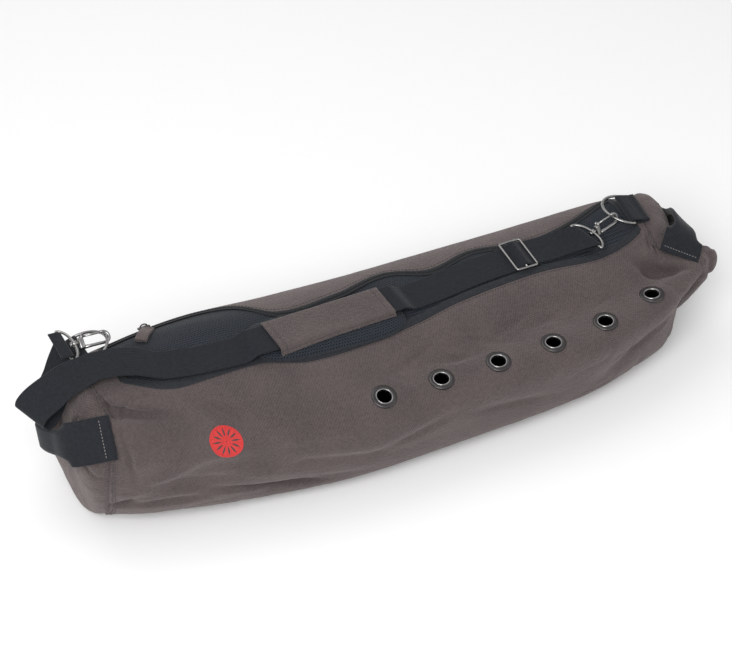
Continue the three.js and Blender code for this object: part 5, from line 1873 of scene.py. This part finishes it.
@dataclass
class Embroidery:
    """A plain embroidered rosette: a full round patch with short raised petals.

    share, around: Place on the body. radius: Outer radius.
    """

    finishes: Finishes
    share: float
    around: float
    radius: float
    petals: int = 12

    def build(self) -> None:
        """Makes the rosette on the body."""
        mesher = Mesher("embroidered_rosette")
        self.ring(mesher, self.radius * 0.5, self.radius * 0.46, 0.45)
        self.ring(mesher, self.radius * 0.94, self.radius * 0.06, 0.8)
        self.ring(mesher, self.radius * 0.1, self.radius * 0.08, 0.9)
        for k in range(self.petals):
            angle = 2 * math.pi * k / self.petals
            self.petal(mesher, angle)
        mesher.finish(Slot.CANVAS, [self.finishes.red, self.finishes.thread], BAG)

    def on_cloth(self, u: Points, v: Points, lift: float) -> Points:
        """Points on the body at offsets along and around."""
        return Cloth.at(self.share + u / LENGTH, self.around + v / self.scale(), lift)

    def scale(self) -> float:
        """Millimetres of cloth per degree here."""
        a = Skin.at(self.share, self.around - 2)
        b = Skin.at(self.share, self.around + 2)
        return float(np.linalg.norm(b - a)) / 4

    def ring(self, mesher: Mesher, radius: float, half: float, rise: float) -> None:
        """Adds a flat satin-stitched ring."""
        angle = np.linspace(0, 2 * math.pi, 72, endpoint=False)[:, None]
        step = np.linspace(-1, 1, 7)[None, :]
        r = radius + step * half
        lift = rise * np.maximum(1 - step**2, 0) ** 0.25 + 0.05
        mesher.grid(self.on_cloth(r * np.cos(angle), r * np.sin(angle), lift), looped=True)

    def petal(self, mesher: Mesher, angle: float) -> None:
        """Adds one pointed petal."""
        t = np.linspace(0, 1, 14)[:, None]
        step = np.linspace(-1, 1, 5)[None, :]
        along = self.radius * (0.3 + 0.52 * t)
        half = self.radius * 0.055 * np.sin(math.pi * np.clip(t, 0.03, 0.97)) * step
        u = along * math.cos(angle) - half * math.sin(angle)
        v = along * math.sin(angle) + half * math.cos(angle)
        lift = 0.55 * np.sqrt(np.maximum(1 - step**2, 0)) + 0.45 + 0 * t
        mesher.grid(self.on_cloth(u, v, lift), material=1)


# Camera, light and floor


@dataclass(frozen=True)
class Studio:
    """A pale floor, soft light and a camera at the photograph's angle.

    azimuth, elevation: Direction of view in degrees. distance: From the aim to the camera in metres.
    lens: Angle of view across the picture in degrees.
    """

    azimuth: float = 26.0
    elevation: float = 45.0
    distance: float = 1.822
    lens: float = 24.0

    def build(self) -> None:
        """Makes the camera, the lights, the world and the floor."""
        right = Vector((math.cos(math.radians(self.azimuth)), -math.sin(math.radians(self.azimuth)), 0))
        slope = math.radians(self.elevation)
        ahead = Vector(
            (
                math.sin(math.radians(self.azimuth)) * math.cos(slope),
                math.cos(math.radians(self.azimuth)) * math.cos(slope),
                -math.sin(slope),
            )
        )
        up = right.cross(ahead)
        target = Vector(to_frame(vec(0, 0, 60))) - right * 0.0201 + up * 0.0169
        data = bpy.data.cameras.new("camera")
        data.sensor_fit = "HORIZONTAL"
        data.angle = math.radians(self.lens)
        camera = bpy.data.objects.new("camera", data)
        camera.matrix_world = Matrix.Translation(target - ahead * self.distance) @ Matrix(
            (right, up, -ahead)
        ).transposed().to_4x4()
        bpy.context.scene.collection.objects.link(camera)
        bpy.context.scene.camera = camera
        self.floor()
        self.light("key", (-1.1, -1.2, 1.7), 1.3, 36)
        self.light("fill", (1.5, -0.9, 1.4), 1.4, 5)
        self.light("top", (-0.2, 1.2, 2.0), 1.8, 11)
        world = bpy.data.worlds.new("world")
        world.use_nodes = True
        world.node_tree.nodes["Background"].inputs["Color"].default_value = (1, 1, 1, 1)
        world.node_tree.nodes["Background"].inputs["Strength"].default_value = 0.52
        bpy.context.scene.world = world
        bpy.context.scene.view_settings.view_transform = "Standard"

    def light(self, name: str, place: tuple[float, float, float], size: float, power: float) -> None:
        """Adds a soft square light that faces the bag."""
        data = bpy.data.lights.new(name, "AREA")
        data.size = size
        data.energy = power
        made = bpy.data.objects.new(name, data)
        made.matrix_world = Matrix.Translation(place) @ (
            -Vector(place)
        ).to_track_quat("-Z", "Y").to_matrix().to_4x4()
        bpy.context.scene.collection.objects.link(made)

    def floor(self) -> None:
        """Adds the floor."""
        bm = bmesh.new()
        bmesh.ops.create_grid(bm, x_segments=1, y_segments=1, size=6.0)
        mesh = bpy.data.meshes.new("floor")
        bm.to_mesh(mesh)
        bm.free()
        graph = Graph("floor")
        graph.set(Base_Color=(0.95, 0.95, 0.95, 1.0), Roughness=0.9, Specular_IOR_Level=0.1)
        mesh.materials.append(graph.material)
        made = bpy.data.objects.new("floor", mesh)
        bpy.context.scene.collection.objects.link(made)


def main() -> None:
    """Builds every piece of the bag and the studio."""
    logging.basicConfig(level=logging.INFO, format="%(message)s")
    finishes = Finishes()
    BodyCloth(finishes).build()
    EndCap(finishes, End.LEFT).build()
    EndCap(finishes, End.RIGHT).build()
    MeshPanel(finishes).build()
    Zip(finishes).build()
    for number in range(1, 7):
        Eyelet(finishes, number).build()
    for fit in FITTINGS:
        Hardware(finishes, fit).build()
    strap = Strap(finishes)
    strap.build()
    strap.slide()
    pad = Pad(finishes)
    pad.build()
    pad.sleeve()
    for end in End:
        Handle(finishes, end).build()
    Embroidery(finishes, 0.198, 60, 16.0).build()
    Studio().build()


if __name__ == "__main__":
    main()
